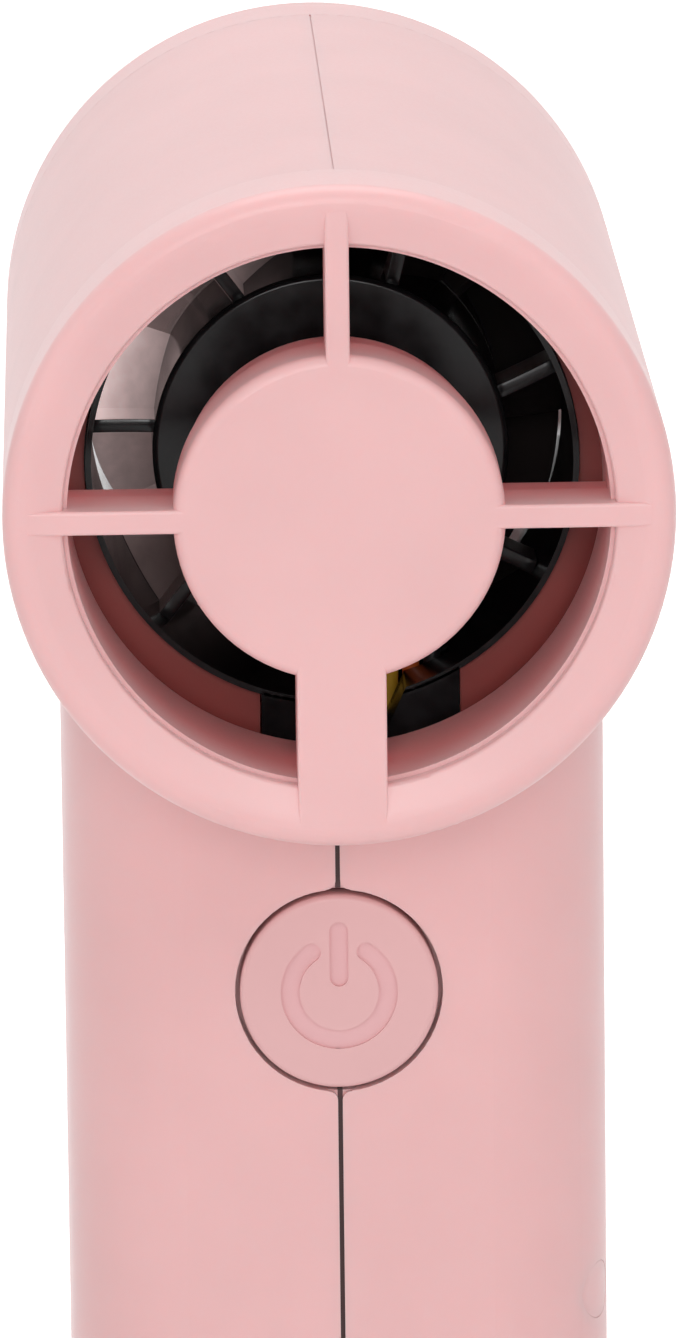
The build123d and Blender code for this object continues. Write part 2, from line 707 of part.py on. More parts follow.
# ---- Fan duct -----------------------------------------------------------------------------------
def foil(radius, angle, near, far, wrap, thickness):
    """Section of a vane at one radius: a bowed strip that turns by wrap from front to back."""
    place = Plane(
        origin=(radius * cos(radians(angle)), 0, AXIS_HEIGHT + radius * sin(radians(angle))),
        x_dir=(-sin(radians(angle)), 0, cos(radians(angle))),
        z_dir=(cos(radians(angle)), 0, sin(radians(angle))),
    )
    travel = radius * radians(wrap)
    half = thickness / 2
    bow = travel * FOIL_BOW
    front_y = place.to_local_coords(Vector(place.origin.X, depth(near), place.origin.Z)).Y
    back_y = place.to_local_coords(Vector(place.origin.X, depth(far), place.origin.Z)).Y
    middle_y = (front_y + back_y) / 2
    one = ThreePointArc((-half, front_y), (travel / 2 - half - bow, middle_y), (travel - half, back_y))
    end = Line((travel - half, back_y), (travel + half, back_y))
    two = ThreePointArc((travel + half, back_y), (travel / 2 + half - bow, middle_y), (half, front_y))
    start = Line((half, front_y), (-half, front_y))
    return place * make_face(Curve() + [one, end, two, start])


def blade_row(count, first_angle, sweep_angle, inner, outer, near, far, wrap, thickness):
    """Ring of equal vanes or blades between two radii."""
    over = OVERCUT * sweep_angle / (outer - inner)
    low = foil(inner - OVERCUT, first_angle - over, near, far, wrap, thickness)
    high = foil(outer + OVERCUT, first_angle + sweep_angle + over, near, far, wrap, thickness)
    blade = loft(Sketch() + [low, high])
    blade &= ring_y(outer, inner, near - OVERCUT, far + OVERCUT)
    row = Part()
    for index in range(count):
        row += around_axis(blade, index * 360 / count)
    return row


def saddle_envelope(clearance):
    """Block under the duct that fills the space down to the barrel's wall."""
    half = SADDLE_WIDTH / 2 + clearance
    low = AXIS_HEIGHT - BORE_R - (OVERCUT if clearance else 0)
    body = block(
        SADDLE_X - half,
        SADDLE_X + half,
        depth(DUCT_FRONT) - clearance,
        depth(DUCT_FRONT + SADDLE_LENGTH) + clearance,
        low,
        AXIS_HEIGHT - DUCT_BORE_R,
    )
    limit = BORE_R if clearance else BORE_R - SADDLE_CLEARANCE
    ring = rod_y(limit, OUTLET_Y, -OUTLET_Y) - rod_y((DUCT_R + DUCT_BORE_R) / 2, OUTLET_Y, -OUTLET_Y)
    return body & ring


def lead_hole_x():
    """Sides of the passage for the motor leads."""
    last = LEAD_FIRST_X + (LEAD_COUNT - 1) * LEAD_PITCH
    margin = LEAD_R + LEAD_HOLE_CLEARANCE
    return LEAD_FIRST_X - LEAD_SPREAD - margin, last + margin


def lead_hole_y():
    """Front and back of the passage for the motor leads."""
    margin = LEAD_R + LEAD_HOLE_CLEARANCE
    return depth(LEAD_RUN_DEPTH) - margin, depth(LEAD_RUN_DEPTH) + margin


def stator_duct():
    """Duct ring, stator vanes, motor cup, bearing tube and wire saddle in one moulding."""
    back = DUCT_FRONT + DUCT_LENGTH
    flange_r = BORE_R - DUCT_FLANGE_CLEARANCE
    profile = [
        (DUCT_BORE_R, DUCT_FRONT),
        (DUCT_R, DUCT_FRONT),
        (DUCT_R, back - DUCT_FLANGE_THICKNESS),
        (flange_r, back - DUCT_FLANGE_THICKNESS),
        (flange_r, back),
        (DUCT_BORE_R, back),
    ]
    duct = turned(profile, [DUCT_EDGE_R, DUCT_EDGE_R, 0.0, 0.0, 0.0, DUCT_INLET_R])
    for rib_depth, side in ((FRONT_CRADLE_DEPTH + CRADLE_WIDTH, 1), (REAR_CRADLE_DEPTH, -1)):
        edge = DUCT_FRONT + rib_depth + side * COLLAR_CLEARANCE
        other = edge + side * COLLAR_WIDTH
        duct += ring_y(DUCT_R + COLLAR_HEIGHT, DUCT_R - DUCT_WALL / 2, min(edge, other), max(edge, other))
    duct += motor_cup()
    duct += blade_row(
        VANE_COUNT,
        VANE_START_ANGLE,
        VANE_SWEEP,
        CUP_R - ROOT / 2,
        DUCT_BORE_R + ROOT / 2,
        DUCT_FRONT + VANE_FRONT_SETBACK,
        CUP_FLOOR_BACK,
        VANE_WRAP,
        VANE_THICKNESS,
    )
    duct += saddle_envelope(0.0)
    x0, x1 = lead_hole_x()
    y0, y1 = lead_hole_y()
    bore_edge = sqrt(DUCT_BORE_R**2 - x1**2)
    duct -= block(x0, x1, y0, y1, AXIS_HEIGHT - BARREL_R, AXIS_HEIGHT - bore_edge + LEAD_R)
    notch_back = depth((LEAD_RUN_DEPTH + MOTOR_BOARD_FRONT) / 2)
    notch_low = AXIS_HEIGHT - CUP_R - LEAD_R
    duct -= block(x0, x1, depth(DUCT_FRONT) - OVERCUT, notch_back, notch_low, AXIS_HEIGHT - LEAD_PAD_DROP)
    return duct


def motor_cup():
    """Cup in front of the motor with the bearing tube through its floor."""
    shoulder_r = BEARING_R - BEARING_SHOULDER
    seat_r = BEARING_R + BEARING_SEAT_CLEARANCE
    cup = turned(
        [
            (CUP_BORE_R, DUCT_FRONT),
            (CUP_R, DUCT_FRONT),
            (CUP_R, CUP_FLOOR_BACK),
            (TUBE_R, CUP_FLOOR_BACK),
            (TUBE_R, TUBE_BACK),
            (seat_r, TUBE_BACK),
            (seat_r, REAR_BEARING_DEPTH),
            (shoulder_r, REAR_BEARING_DEPTH),
            (shoulder_r, FRONT_BEARING_DEPTH + BEARING_WIDTH),
            (seat_r, FRONT_BEARING_DEPTH + BEARING_WIDTH),
            (seat_r, FRONT_BEARING_DEPTH - BEARING_FACE_SETBACK),
            (TUBE_R, FRONT_BEARING_DEPTH - BEARING_FACE_SETBACK),
            (TUBE_R, CUP_FLOOR_FRONT),
            (CUP_BORE_R, CUP_FLOOR_FRONT),
        ],
        [CUP_INNER_EDGE_R, CUP_EDGE_R] + [0.0] * 12,
    )
    post_r = (TUBE_R + CUP_BORE_R) / 2
    for index in range(MOTOR_POST_COUNT):
        post = rod_y(
            MOTOR_POST_R, depth(MOTOR_BOARD_BACK), depth(CUP_FLOOR_FRONT), post_r, AXIS_HEIGHT
        )
        cup += around_axis(post, index * 360 / MOTOR_POST_COUNT)
    return cup


# ---- Motor --------------------------------------------------------------------------------------
def bearing(near):
    """Shielded ball bearing as one ring with recessed shields."""
    bore = SHAFT_R + SHAFT_RUNNING_CLEARANCE
    far = near + BEARING_WIDTH
    ring = ring_y(BEARING_R, bore, near, far)
    shield_in = bore + SHIELD_INSET
    shield_out = BEARING_R - SHIELD_INSET
    ring -= ring_y(shield_out, shield_in, near - OVERCUT, near + SHIELD_RECESS)
    ring -= ring_y(shield_out, shield_in, far - SHIELD_RECESS, far + OVERCUT)
    return ring


def tooth(start_r, end_r, half, near, far):
    """Straight upright tooth of the laminated core."""
    return block(-half, half, depth(near), depth(far), AXIS_HEIGHT + start_r, AXIS_HEIGHT + end_r)


def stator_core():
    """Laminated core with nine T-shaped teeth."""
    far = CORE_FRONT + CORE_LENGTH
    core = ring_y(CORE_YOKE_R, TUBE_R + CORE_FIT, CORE_FRONT, far)
    shoes = ring_y(CORE_R, CORE_R - TOOTH_TIP_THICKNESS, CORE_FRONT, far)
    for index in range(TOOTH_COUNT):
        angle = index * 360 / TOOTH_COUNT
        tip = CORE_R - TOOTH_TIP_THICKNESS / 2
        core += around_axis(tooth(CORE_YOKE_R - ROOT, tip, TOOTH_WIDTH / 2, CORE_FRONT, far), angle)
        gap = tooth(
            CORE_YOKE_R, CORE_R + OVERCUT, SLOT_OPENING / 2, CORE_FRONT - OVERCUT, far + OVERCUT
        )
        shoes -= around_axis(gap, angle + 180 / TOOTH_COUNT)
    return core + shoes


def stator_windings():
    """One coil round each tooth."""
    far = CORE_FRONT + CORE_LENGTH
    low = CORE_YOKE_R + COIL_ROOT_GAP
    half = TOOTH_WIDTH / 2 + COIL_CLEARANCE
    shoe_r = CORE_R - TOOTH_TIP_THICKNESS - COIL_CLEARANCE
    high = sqrt(shoe_r**2 - (half + COIL_THICKNESS) ** 2)
    ends = COIL_THICKNESS + COIL_CLEARANCE
    coil = tooth(low, high, half + COIL_THICKNESS, CORE_FRONT - ends, far + ends)
    coil = fillet(coil.edges().filter_by(Axis.Z), COIL_THICKNESS * COIL_ROUNDING)
    window = half, CORE_FRONT - COIL_CLEARANCE, far + COIL_CLEARANCE
    coil -= tooth(low - OVERCUT, high + OVERCUT, *window)
    step = 360 / TOOTH_COUNT
    return Compound(children=[around_axis(coil, index * step) for index in range(TOOTH_COUNT)])


def motor_board():
    """Ring board on the posts in the cup."""
    inner = TUBE_R + MOTOR_BOARD_CLEARANCE
    outer = CUP_BORE_R - MOTOR_BOARD_CLEARANCE
    return ring_y(outer, inner, MOTOR_BOARD_FRONT, MOTOR_BOARD_BACK)


def magnet_ring():
    """Moulded ring magnet in the bell."""
    start = CORE_FRONT - MAGNET_OVERHANG
    end = CORE_FRONT + CORE_LENGTH + MAGNET_OVERHANG
    return ring_y(BELL_BORE_R - BELL_CLEARANCE, MAGNET_BORE_R, start, end)


def motor_bell():
    """Steel can around the magnets, closed at the back."""
    bore = SHAFT_R + SHAFT_FIT
    return turned(
        [
            (BELL_BORE_R, BELL_FRONT),
            (BELL_R, BELL_FRONT),
            (BELL_R, BELL_BACK),
            (bore, BELL_BACK),
            (bore, BELL_BACK - BELL_PLATE),
            (BELL_BORE_R, BELL_BACK - BELL_PLATE),
        ],
        [0.0, 0.0, BELL_EDGE_R, 0.0, 0.0, 0.0],
    )


def motor_shaft():
    """Ground shaft through both bearings, with the groove for its clip."""
    clip_front = FRONT_BEARING_DEPTH - CLIP_GAP - CLIP_THICKNESS
    shaft = rod_y(SHAFT_R, depth(clip_front - SHAFT_END_LENGTH), depth(shaft_back()))
    groove = ring_y(SHAFT_R + OVERCUT, SHAFT_R - CLIP_GROOVE_DEPTH, clip_front, clip_front + CLIP_THICKNESS)
    return shaft - groove


def shaft_back():
    """Depth of the shaft's rear end, inside the impeller's boss."""
    return BELL_BACK + IMPELLER_PLATE + SHAFT_BOSS_DEPTH


def shaft_clip():
    """Open retaining ring in the groove."""
    near = FRONT_BEARING_DEPTH - CLIP_GAP - CLIP_THICKNESS
    far = near + CLIP_THICKNESS
    mouth = (SHAFT_R - CLIP_GROOVE_DEPTH) * CLIP_MOUTH
    gap = tooth(0, CLIP_R + OVERCUT, mouth, near - OVERCUT, far + OVERCUT)
    return ring_y(CLIP_R, SHAFT_R - CLIP_GROOVE_DEPTH + CLIP_FIT, near, far) - gap


def impeller():
    """Axial impeller: hub cup over the bell, domed nose and twisted blades."""
    hub_r = CUP_R
    cavity_r = BELL_R + BELL_CLEARANCE
    plate_back = BELL_BACK + IMPELLER_PLATE
    hub = turned(
        [
            (cavity_r, BELL_FRONT),
            (hub_r, BELL_FRONT),
            (hub_r, plate_back),
            (0.0, plate_back),
            (0.0, BELL_BACK),
            (cavity_r, BELL_BACK),
        ]
    )
    sphere_r = (hub_r**2 + NOSE_HEIGHT**2) / (2 * NOSE_HEIGHT)
    centre_y = depth(plate_back + NOSE_HEIGHT) - sphere_r
    nose = Pos(0, centre_y, AXIS_HEIGHT) * Sphere(sphere_r)
    nose &= rod_y(hub_r, depth(plate_back), depth(plate_back + NOSE_HEIGHT + OVERCUT))
    blade_front = BELL_FRONT + BLADE_SETBACK
    blades = blade_row(
        BLADE_COUNT,
        0.0,
        0.0,
        hub_r - ROOT / 2,
        DUCT_BORE_R - TIP_CLEARANCE,
        blade_front,
        blade_front + BLADE_LENGTH,
        BLADE_WRAP,
        BLADE_THICKNESS,
    )
    body = hub + nose + blades
    return body - rod_y(SHAFT_R + SHAFT_FIT, depth(BELL_BACK) - OVERCUT, depth(shaft_back()))


# ---- Leads --------------------------------------------------------------------------------------
def motor_lead(index):
    """Lead from the motor board over the cup's rim, through the saddle, to its plug."""
    top_x = LEAD_FIRST_X + index * LEAD_PITCH
    end_x = top_x - LEAD_LEAN
    run_y = depth(LEAD_RUN_DEPTH)
    pad_z = AXIS_HEIGHT - LEAD_PAD_DROP
    start = (top_x, depth(MOTOR_BOARD_FRONT), pad_z)
    corner = (top_x, run_y, pad_z)
    kink = (end_x, run_y, AXIS_HEIGHT - LEAD_KINK_DROP)
    end = (end_x, run_y, plug_top())
    bend = BEND_SHARE * (start[1] - run_y)
    turn = atan2(top_x - end_x, pad_z - kink[2])
    ease = BEND_SHARE * min(pad_z - kink[2], kink[2] - end[2]) / tan(turn / 2)
    return wire_solid([start, corner, kink, end], [bend, ease], LEAD_R)


def plug_top():
    """Height of the lead connector's upper face."""
    return BOARD_TOP - PLUG_SETBACK


def motor_plug():
    """Three-way connector on the control board."""
    middle = LEAD_FIRST_X - LEAD_LEAN + LEAD_PITCH
    half = LEAD_PITCH * (LEAD_COUNT - 1) / 2 + PLUG_MARGIN
    return block(
        middle - half,
        middle + half,
        BOARD_FRONT_Y - PLUG_DEPTH,
        BOARD_FRONT_Y,
        plug_top() - PLUG_LENGTH,
        plug_top(),
    )


def battery_lead(side):
    """Lead from a cell tab to the back of the control board, the lower one mirrored."""
    x = side * BATTERY_LEAD_X
    tab_z = CELL_TOP if side > 0 else CELL_BOTTOM
    y = CELL_SET_BACK - TAB_REACH + BATTERY_LEAD_R + TAB_THICKNESS
    start = (x, y, tab_z)
    corner = (x, y, tab_z - side * BATTERY_LEAD_RISE)
    end = (x, BOARD_BACK_Y, corner[2])
    bend = BEND_SHARE * min(BATTERY_LEAD_RISE, y - BOARD_BACK_Y)
    return wire_solid([start, corner, end], [bend], BATTERY_LEAD_R)


# ---- Button and switch --------------------------------------------------------------------------
def power_button():
    """Cap, retaining flange and stem."""
    cap = rod_y(BUTTON_R, BUTTON_FACE_Y, FLANGE_FRONT_Y, 0, BUTTON_Z)
    cap = fillet(cap.edges().sort_by(Axis.Y)[0], BUTTON_EDGE_R)
    flange = rod_y(BUTTON_R + FLANGE_WIDTH, FLANGE_FRONT_Y, FLANGE_BACK_Y, 0, BUTTON_Z)
    stem = rod_y(STEM_R, FLANGE_BACK_Y, PLUNGER_FRONT_Y, 0, BUTTON_Z)
    return cap + flange + stem


def switch_plunger():
    """Round actuator of the switch."""
    return rod_y(PLUNGER_R, PLUNGER_FRONT_Y, SWITCH_FRONT_Y + PLUNGER_GUIDE, 0, BUTTON_Z)


def switch_body():
    """Square tactile switch with the bore of its plunger."""
    half = SWITCH_SIZE / 2
    body = block(-half, half, SWITCH_FRONT_Y, BOARD_FRONT_Y, BUTTON_Z - half, BUTTON_Z + half)
    bore_back = SWITCH_FRONT_Y + PLUNGER_GUIDE + BUTTON_TRAVEL + PLUNGER_END_GAP
    bore_front = SWITCH_FRONT_Y - OVERCUT
    return body - rod_y(PLUNGER_R + PLUNGER_CLEARANCE, bore_front, bore_back, 0, BUTTON_Z)


# ---- Board --------------------------------------------------------------------------------------
def control_board():
    """Long board held by the rails."""
    half = BOARD_WIDTH / 2
    return block(-half, half, BOARD_FRONT_Y, BOARD_BACK_Y, BOARD_BOTTOM, BOARD_TOP)


def usb_y():
    """Y of the charging socket's centre line."""
    return BOARD_FRONT_Y - USB_HEIGHT / 2


def usb_prism(grow, low, high):
    """Rounded bar of the socket's outline."""
    radius = USB_HEIGHT / 2 + grow
    flat = USB_WIDTH / 2 - USB_HEIGHT / 2
    bar = block(-flat, flat, usb_y() - radius, usb_y() + radius, low, high)
    return bar + rod_z(radius, low, high, -flat, usb_y()) + rod_z(radius, low, high, flat, usb_y())


def usb_socket():
    """Metal shell of the charging socket, closed at its inner end."""
    top = USB_RECESS + USB_LENGTH
    return usb_prism(0.0, USB_RECESS, top) - usb_prism(-USB_SKIN, USB_RECESS - OVERCUT, top - USB_SKIN)


def usb_tongue():
    """Contact tongue in the middle of the socket."""
    half_x = USB_TONGUE_WIDTH / 2
    half_y = USB_TONGUE_THICKNESS / 2
    top = USB_RECESS + USB_LENGTH - USB_SKIN
    return block(-half_x, half_x, usb_y() - half_y, usb_y() + half_y, USB_RECESS + USB_TONGUE_SETBACK, top)


def status_led():
    """Charge indicator on the board's lower edge."""
    half = LED_SIZE / 2
    return block(
        LED_OFFSET - half,
        LED_OFFSET + half,
        usb_y() - half,
        BOARD_FRONT_Y,
        WALL + LED_STANDOFF,
        WALL + LED_STANDOFF + LED_SIZE,
    )


def light_pipe():
    """Clear pin that carries the light through the floor."""
    pin = rod_z(LIGHT_PIPE_R, LIGHT_PIPE_RECESS, WALL, LED_OFFSET, usb_y())
    head = rod_z(LIGHT_PIPE_R + LIGHT_PIPE_HEAD, WALL, WALL + LED_STANDOFF, LED_OFFSET, usb_y())
    return pin + head


def on_board_back(width, height, thickness, x, z):
    """Box soldered to the back of the control board."""
    return block(
        x - width / 2, x + width / 2, BOARD_BACK_Y, BOARD_BACK_Y + thickness, z - height / 2, z + height / 2
    )


def driver_chips():
    """Fan driver, charger and microcontroller."""
    places = ((-CHIP_X, UPPER_CHIP_Z), (0.0, UPPER_CHIP_Z), (0.0, LOWER_CHIP_Z))
    return Compound(children=[on_board_back(CHIP_SIZE, CHIP_SIZE, CHIP_HEIGHT, x, z) for x, z in places])


def power_inductor():
    """Boost inductor."""
    choke = on_board_back(INDUCTOR_SIZE, INDUCTOR_SIZE, INDUCTOR_HEIGHT, INDUCTOR_X, INDUCTOR_Z)
    return chamfer(choke.edges().filter_by(Axis.Y), INDUCTOR_CORNER)


def board_capacitors():
    """Two can capacitors standing on the board's back."""
    top = BOARD_BACK_Y + CAPACITOR_HEIGHT
    cans = [rod_y(CAPACITOR_R, BOARD_BACK_Y, top, x, CAPACITOR_Z) for x in (-CAPACITOR_X, CAPACITOR_X)]
    return Compound(children=cans)


# ---- Battery ------------------------------------------------------------------------------------
def battery_cell():
    """Wrapped 18650 cell with its nub."""
    shoulder = CELL_TOP - NUB_HEIGHT
    can = rod_z(CELL_R, CELL_BOTTOM, shoulder, 0, CELL_SET_BACK)
    can = fillet(can.edges().filter_by(GeomType.CIRCLE), CELL_EDGE_R)
    return can + rod_z(NUB_R, shoulder - ROOT, CELL_TOP, 0, CELL_SET_BACK)


def battery_ring():
    """Fish-paper ring round the nub."""
    low = CELL_TOP - NUB_HEIGHT
    ring = rod_z(CELL_R - RING_MARGIN, low, low + RING_THICKNESS, 0, CELL_SET_BACK)
    return ring - rod_z(NUB_R + RING_GAP, low - OVERCUT, CELL_TOP, 0, CELL_SET_BACK)


def battery_tabs():
    """Nickel strips on both ends, reaching forward to their leads."""
    front = CELL_SET_BACK - TAB_REACH
    back = CELL_SET_BACK + TAB_OVERLAP
    tabs = []
    for side, height in ((1, CELL_TOP), (-1, CELL_BOTTOM - TAB_THICKNESS)):
        x0, x1 = sorted((side * (BATTERY_LEAD_X - TAB_WIDTH), side * (BATTERY_LEAD_X + TAB_MARGIN)))
        tabs.append(block(x0, x1, front, back, height, height + TAB_THICKNESS))
    return Compound(children=tabs)


def battery_pads():
    """Foam pads that keep the cell from rattling."""
    half = PAD_SIZE / 2
    y0 = CELL_SET_BACK - half
    y1 = CELL_SET_BACK + half
    low_top = CELL_BOTTOM - TAB_THICKNESS
    high_bottom = CELL_TOP + TAB_THICKNESS
    return Compound(
        children=[
            block(-half, half, y0, y1, low_top - PAD_THICKNESS, low_top),
            block(-half, half, y0, y1, high_bottom, high_bottom + PAD_THICKNESS),
        ]
    )


# ---- All nodes ----------------------------------------------------------------------------------
def main():
    """Build and write every node."""
    os.makedirs("parts", exist_ok=True)
    blank = housing_blank()
    save("left_shell", left_half(deepcopy(blank)))
    save("right_shell", right_half(blank))
    save("shell_screws", shell_screws())
    save("front_grille", front_grille())
    save("rear_grille", rear_grille())
    save("stator_duct", stator_duct())
    save("front_bearing", bearing(FRONT_BEARING_DEPTH))
    save("rear_bearing", bearing(REAR_BEARING_DEPTH))
    save("stator_core", stator_core())
    save("stator_windings", stator_windings())
    save("motor_board", motor_board())
    save("magnet_ring", magnet_ring())
    save("motor_bell", motor_bell())
    save("motor_shaft", motor_shaft())
    save("shaft_clip", shaft_clip())
    save("impeller", impeller())
    for index, colour in enumerate(("yellow", "orange", "black")):
        save(f"motor_lead_{colour}", motor_lead(index))
    save("motor_plug", motor_plug())
    save("battery_lead_red", battery_lead(1))
    save("battery_lead_black", battery_lead(-1))
    save("power_button", power_button())
    save("switch_plunger", switch_plunger())
    save("switch_body", switch_body())
    save("control_board", control_board())
    save("usb_socket", usb_socket())
    save("usb_tongue", usb_tongue())
    save("status_led", status_led())
    save("light_pipe", light_pipe())
    save("driver_chips", driver_chips())
    save("power_inductor", power_inductor())
    save("board_capacitors", board_capacitors())
    save("battery_cell", battery_cell())
    save("battery_ring", battery_ring())
    save("battery_tabs", battery_tabs())
    save("battery_pads", battery_pads())


if __name__ == "__main__":
    main()
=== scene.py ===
"""Looks of the pocket turbo fan: finishes, finely made pieces, studio and camera.

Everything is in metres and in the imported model's frame: +Z up along the handle, -Y out of the air
outlet, and the barrel's axis parallel to Y.
"""

import logging
import math
from dataclasses import dataclass
from enum import Enum

import bpy
import numpy as np
from mathutils import Matrix, Vector


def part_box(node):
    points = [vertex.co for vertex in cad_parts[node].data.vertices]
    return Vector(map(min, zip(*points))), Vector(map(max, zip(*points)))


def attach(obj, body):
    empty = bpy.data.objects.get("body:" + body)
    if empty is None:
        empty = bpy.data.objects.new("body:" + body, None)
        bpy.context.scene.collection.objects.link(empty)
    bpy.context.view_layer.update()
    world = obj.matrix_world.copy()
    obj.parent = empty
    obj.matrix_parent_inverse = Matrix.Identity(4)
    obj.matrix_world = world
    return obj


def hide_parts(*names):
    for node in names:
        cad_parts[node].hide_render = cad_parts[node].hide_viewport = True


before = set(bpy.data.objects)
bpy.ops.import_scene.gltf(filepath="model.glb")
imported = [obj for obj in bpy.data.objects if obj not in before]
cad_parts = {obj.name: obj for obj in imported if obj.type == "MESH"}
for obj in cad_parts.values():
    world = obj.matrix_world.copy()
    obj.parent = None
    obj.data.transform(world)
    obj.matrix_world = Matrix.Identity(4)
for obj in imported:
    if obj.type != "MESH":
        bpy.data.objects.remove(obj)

MM = 0.001
AXIS_HEIGHT = 102.0 * MM
AXIS = Vector((0, 0, AXIS_HEIGHT))
OUTLET_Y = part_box("front_grille")[0].y
BORE_FADE = 5.0 * MM
NOISE_DIPS, NOISE_PEAKS = 0.3, 0.7
WELD = 1e-7
SEAM_TOP = AXIS_HEIGHT - 19.0 * MM
SMOOTH_ANGLE = 30.0
LOG = logging.getLogger("fan")
Colour = tuple[float, float, float]
Span = tuple[float, float]
Outline = list[tuple[float, float]]
Piece = bpy.types.Object
Socket = bpy.types.NodeSocket


def screen_colour(red: int, green: int, blue: int) -> Colour:
    """Linear colour of an 8-bit screen colour."""
    return tuple(
        v / 255 / 12.92 if v <= 10 else ((v / 255 + 0.055) / 1.055) ** 2.4 for v in (red, green, blue)
    )


def shade(colour: Colour, factor: float) -> Colour:
    """Colour made lighter or darker by a factor."""
    return tuple(min(1.0, channel * factor) for channel in colour)


# ---- Node trees ---------------------------------------------------------------------------------
class NodeSheet:
    """The node tree of a material or a world, with short ways to add and join nodes."""

    def __init__(self, owner: bpy.types.Material | bpy.types.World) -> None:
        """Start an empty tree.

        Args:
            owner: What the tree belongs to.
        """
        self.owner = owner
        owner.use_nodes = True
        self.tree = owner.node_tree
        self.tree.nodes.clear()
        self.coordinates = self.tree.nodes.new("ShaderNodeTexCoord").outputs["Object"]

    def feed(self, socket: Socket, value: object) -> None:
        """Link another socket to an input, or set the input's value.

        Args:
            socket: The input.
            value: A socket or a value.
        """
        if isinstance(value, Socket):
            self.tree.links.new(value, socket)
        else:
            socket.default_value = value

    def add(self, kind: str, **inputs: object) -> bpy.types.Node:
        """Add a node.

        Args:
            kind: Blender's type name of the node.
            inputs: Values or sockets by input name, with _ for a space.

        Returns:
            The new node.
        """
        node = self.tree.nodes.new(kind)
        for name, value in inputs.items():
            self.feed(node.inputs[name.replace("_", " ")], value)
        return node

    def chain(self, kind: str, *values: object) -> bpy.types.Node:
        """Add a node whose inputs are given in order.

        Args:
            kind: Blender's type name of the node.
            values: Values or sockets, from its first input on.

        Returns:
            The new node.
        """
        node = self.tree.nodes.new(kind)
        for socket, value in zip(node.inputs, values):
            self.feed(socket, value)
        return node

    def maths(self, operation: str, *values: float | Socket) -> Socket:
        """Result of an operation on numbers.

        Args:
            operation: Blender's name of the operation.
            values: Numbers or sockets.

        Returns:
            The result.
        """
        node = self.chain("ShaderNodeMath", *values)
        node.operation = operation
        return node.outputs["Value"]

    def vector_maths(self, operation: str, *values: object, result: str = "Vector") -> Socket:
        """Result of an operation on vectors.

        Args:
            operation: Blender's name of the operation.
            values: Vectors or sockets.
            result: Vector, or Value where the result is a number.

        Returns:
            The result.
        """
        node = self.chain("ShaderNodeVectorMath", *values)
        node.operation = operation
        return node.outputs[result]

    def noise(self, scale: float, detail: float = 2.0, stretch: Colour | None = None) -> Socket:
        """Noise over the piece.

        Args:
            scale: Bumps per metre.
            detail: Octaves of finer noise.
            stretch: Scale along each axis, to draw the noise out into streaks.

        Returns:
            The noise's value, from 0 to 1.
        """
        source = self.coordinates
        if stretch is not None:
            source = self.add("ShaderNodeMapping", Vector=source, Scale=stretch).outputs["Vector"]
        return self.add("ShaderNodeTexNoise", Vector=source, Scale=scale, Detail=detail).outputs["Fac"]

    def spread(self, value: Socket, low: float, high: float) -> Socket:
        """Value brought from noise's middle range to a new one.

        Args:
            value: The noise.
            low: Result at the noise's dips.
            high: Result at its peaks.

        Returns:
            The new value.
        """
        limits = {"From_Min": NOISE_DIPS, "From_Max": NOISE_PEAKS, "To_Min": low, "To_Max": high}
        return self.add("ShaderNodeMapRange", Value=value, **limits).outputs["Result"]

    def blend(self, factor: Socket, first: Colour | Socket, second: Colour | Socket) -> Socket:
        """Colour between two, by a factor.

        Args:
            factor: 0 for the first colour and 1 for the second.
            first: Linear colour or a socket.
            second: Linear colour or a socket.

        Returns:
            The mixed colour.
        """
        node = self.tree.nodes.new("ShaderNodeMix")
        node.data_type = "RGBA"
        self.feed(node.inputs["Factor"], factor)
        for socket, colour in ((node.inputs[6], first), (node.inputs[7], second)):
            self.feed(socket, colour if isinstance(colour, Socket) else (*colour, 1.0))
        return node.outputs[2]

    def vary(self, value: Socket, colour: Colour, low: float, high: float) -> Socket:
        """Colour that gets darker and lighter with a noise.

        Args:
            value: The noise.
            colour: Linear colour.
            low: Factor on the colour at the noise's dips.
            high: Factor at its peaks.

        Returns:
            The colour over the piece.
        """
        return self.blend(self.spread(value, 0.0, 1.0), shade(colour, low), shade(colour, high))

    def bump(self, height: Socket, distance: float, strength: float = 1.0) -> Socket:
        """Surface normal over small relief.

        Args:
            height: Relief from 0 to 1.
            distance: Height of the relief in metres.
            strength: Share of the relief that shows.

        Returns:
            The normal.
        """
        node = self.add("ShaderNodeBump", Height=height, Distance=distance, Strength=strength)
        return node.outputs["Normal"]

    def finish(self, volume: Socket | None = None, **inputs: object) -> bpy.types.Material:
        """Close the material with its surface shader.

        Args:
            volume: What fills its inside, where light goes in.
            inputs: Inputs of the Principled shader.

        Returns:
            The material.
        """
        shader = self.add("ShaderNodeBsdfPrincipled", **inputs)
        output = self.add("ShaderNodeOutputMaterial", Surface=shader.outputs["BSDF"])
        if volume is not None:
            self.feed(output.inputs["Volume"], volume)
        return self.owner

    def along(self, axis: str) -> Socket:
        """Coordinate along one axis, in metres."""
        return self.add("ShaderNodeSeparateXYZ", Vector=self.coordinates).outputs[axis]

    def axis_offset(self) -> Socket:
        """Way from the barrel's axis in metres."""
        flat = self.vector_maths("MULTIPLY", self.coordinates, (1.0, 0.0, 1.0))
        return self.vector_maths("SUBTRACT", flat, AXIS)

    def axis_distance(self) -> Socket:
        """Distance from the barrel's axis in metres."""
        return self.vector_maths("LENGTH", self.axis_offset(), result="Value")

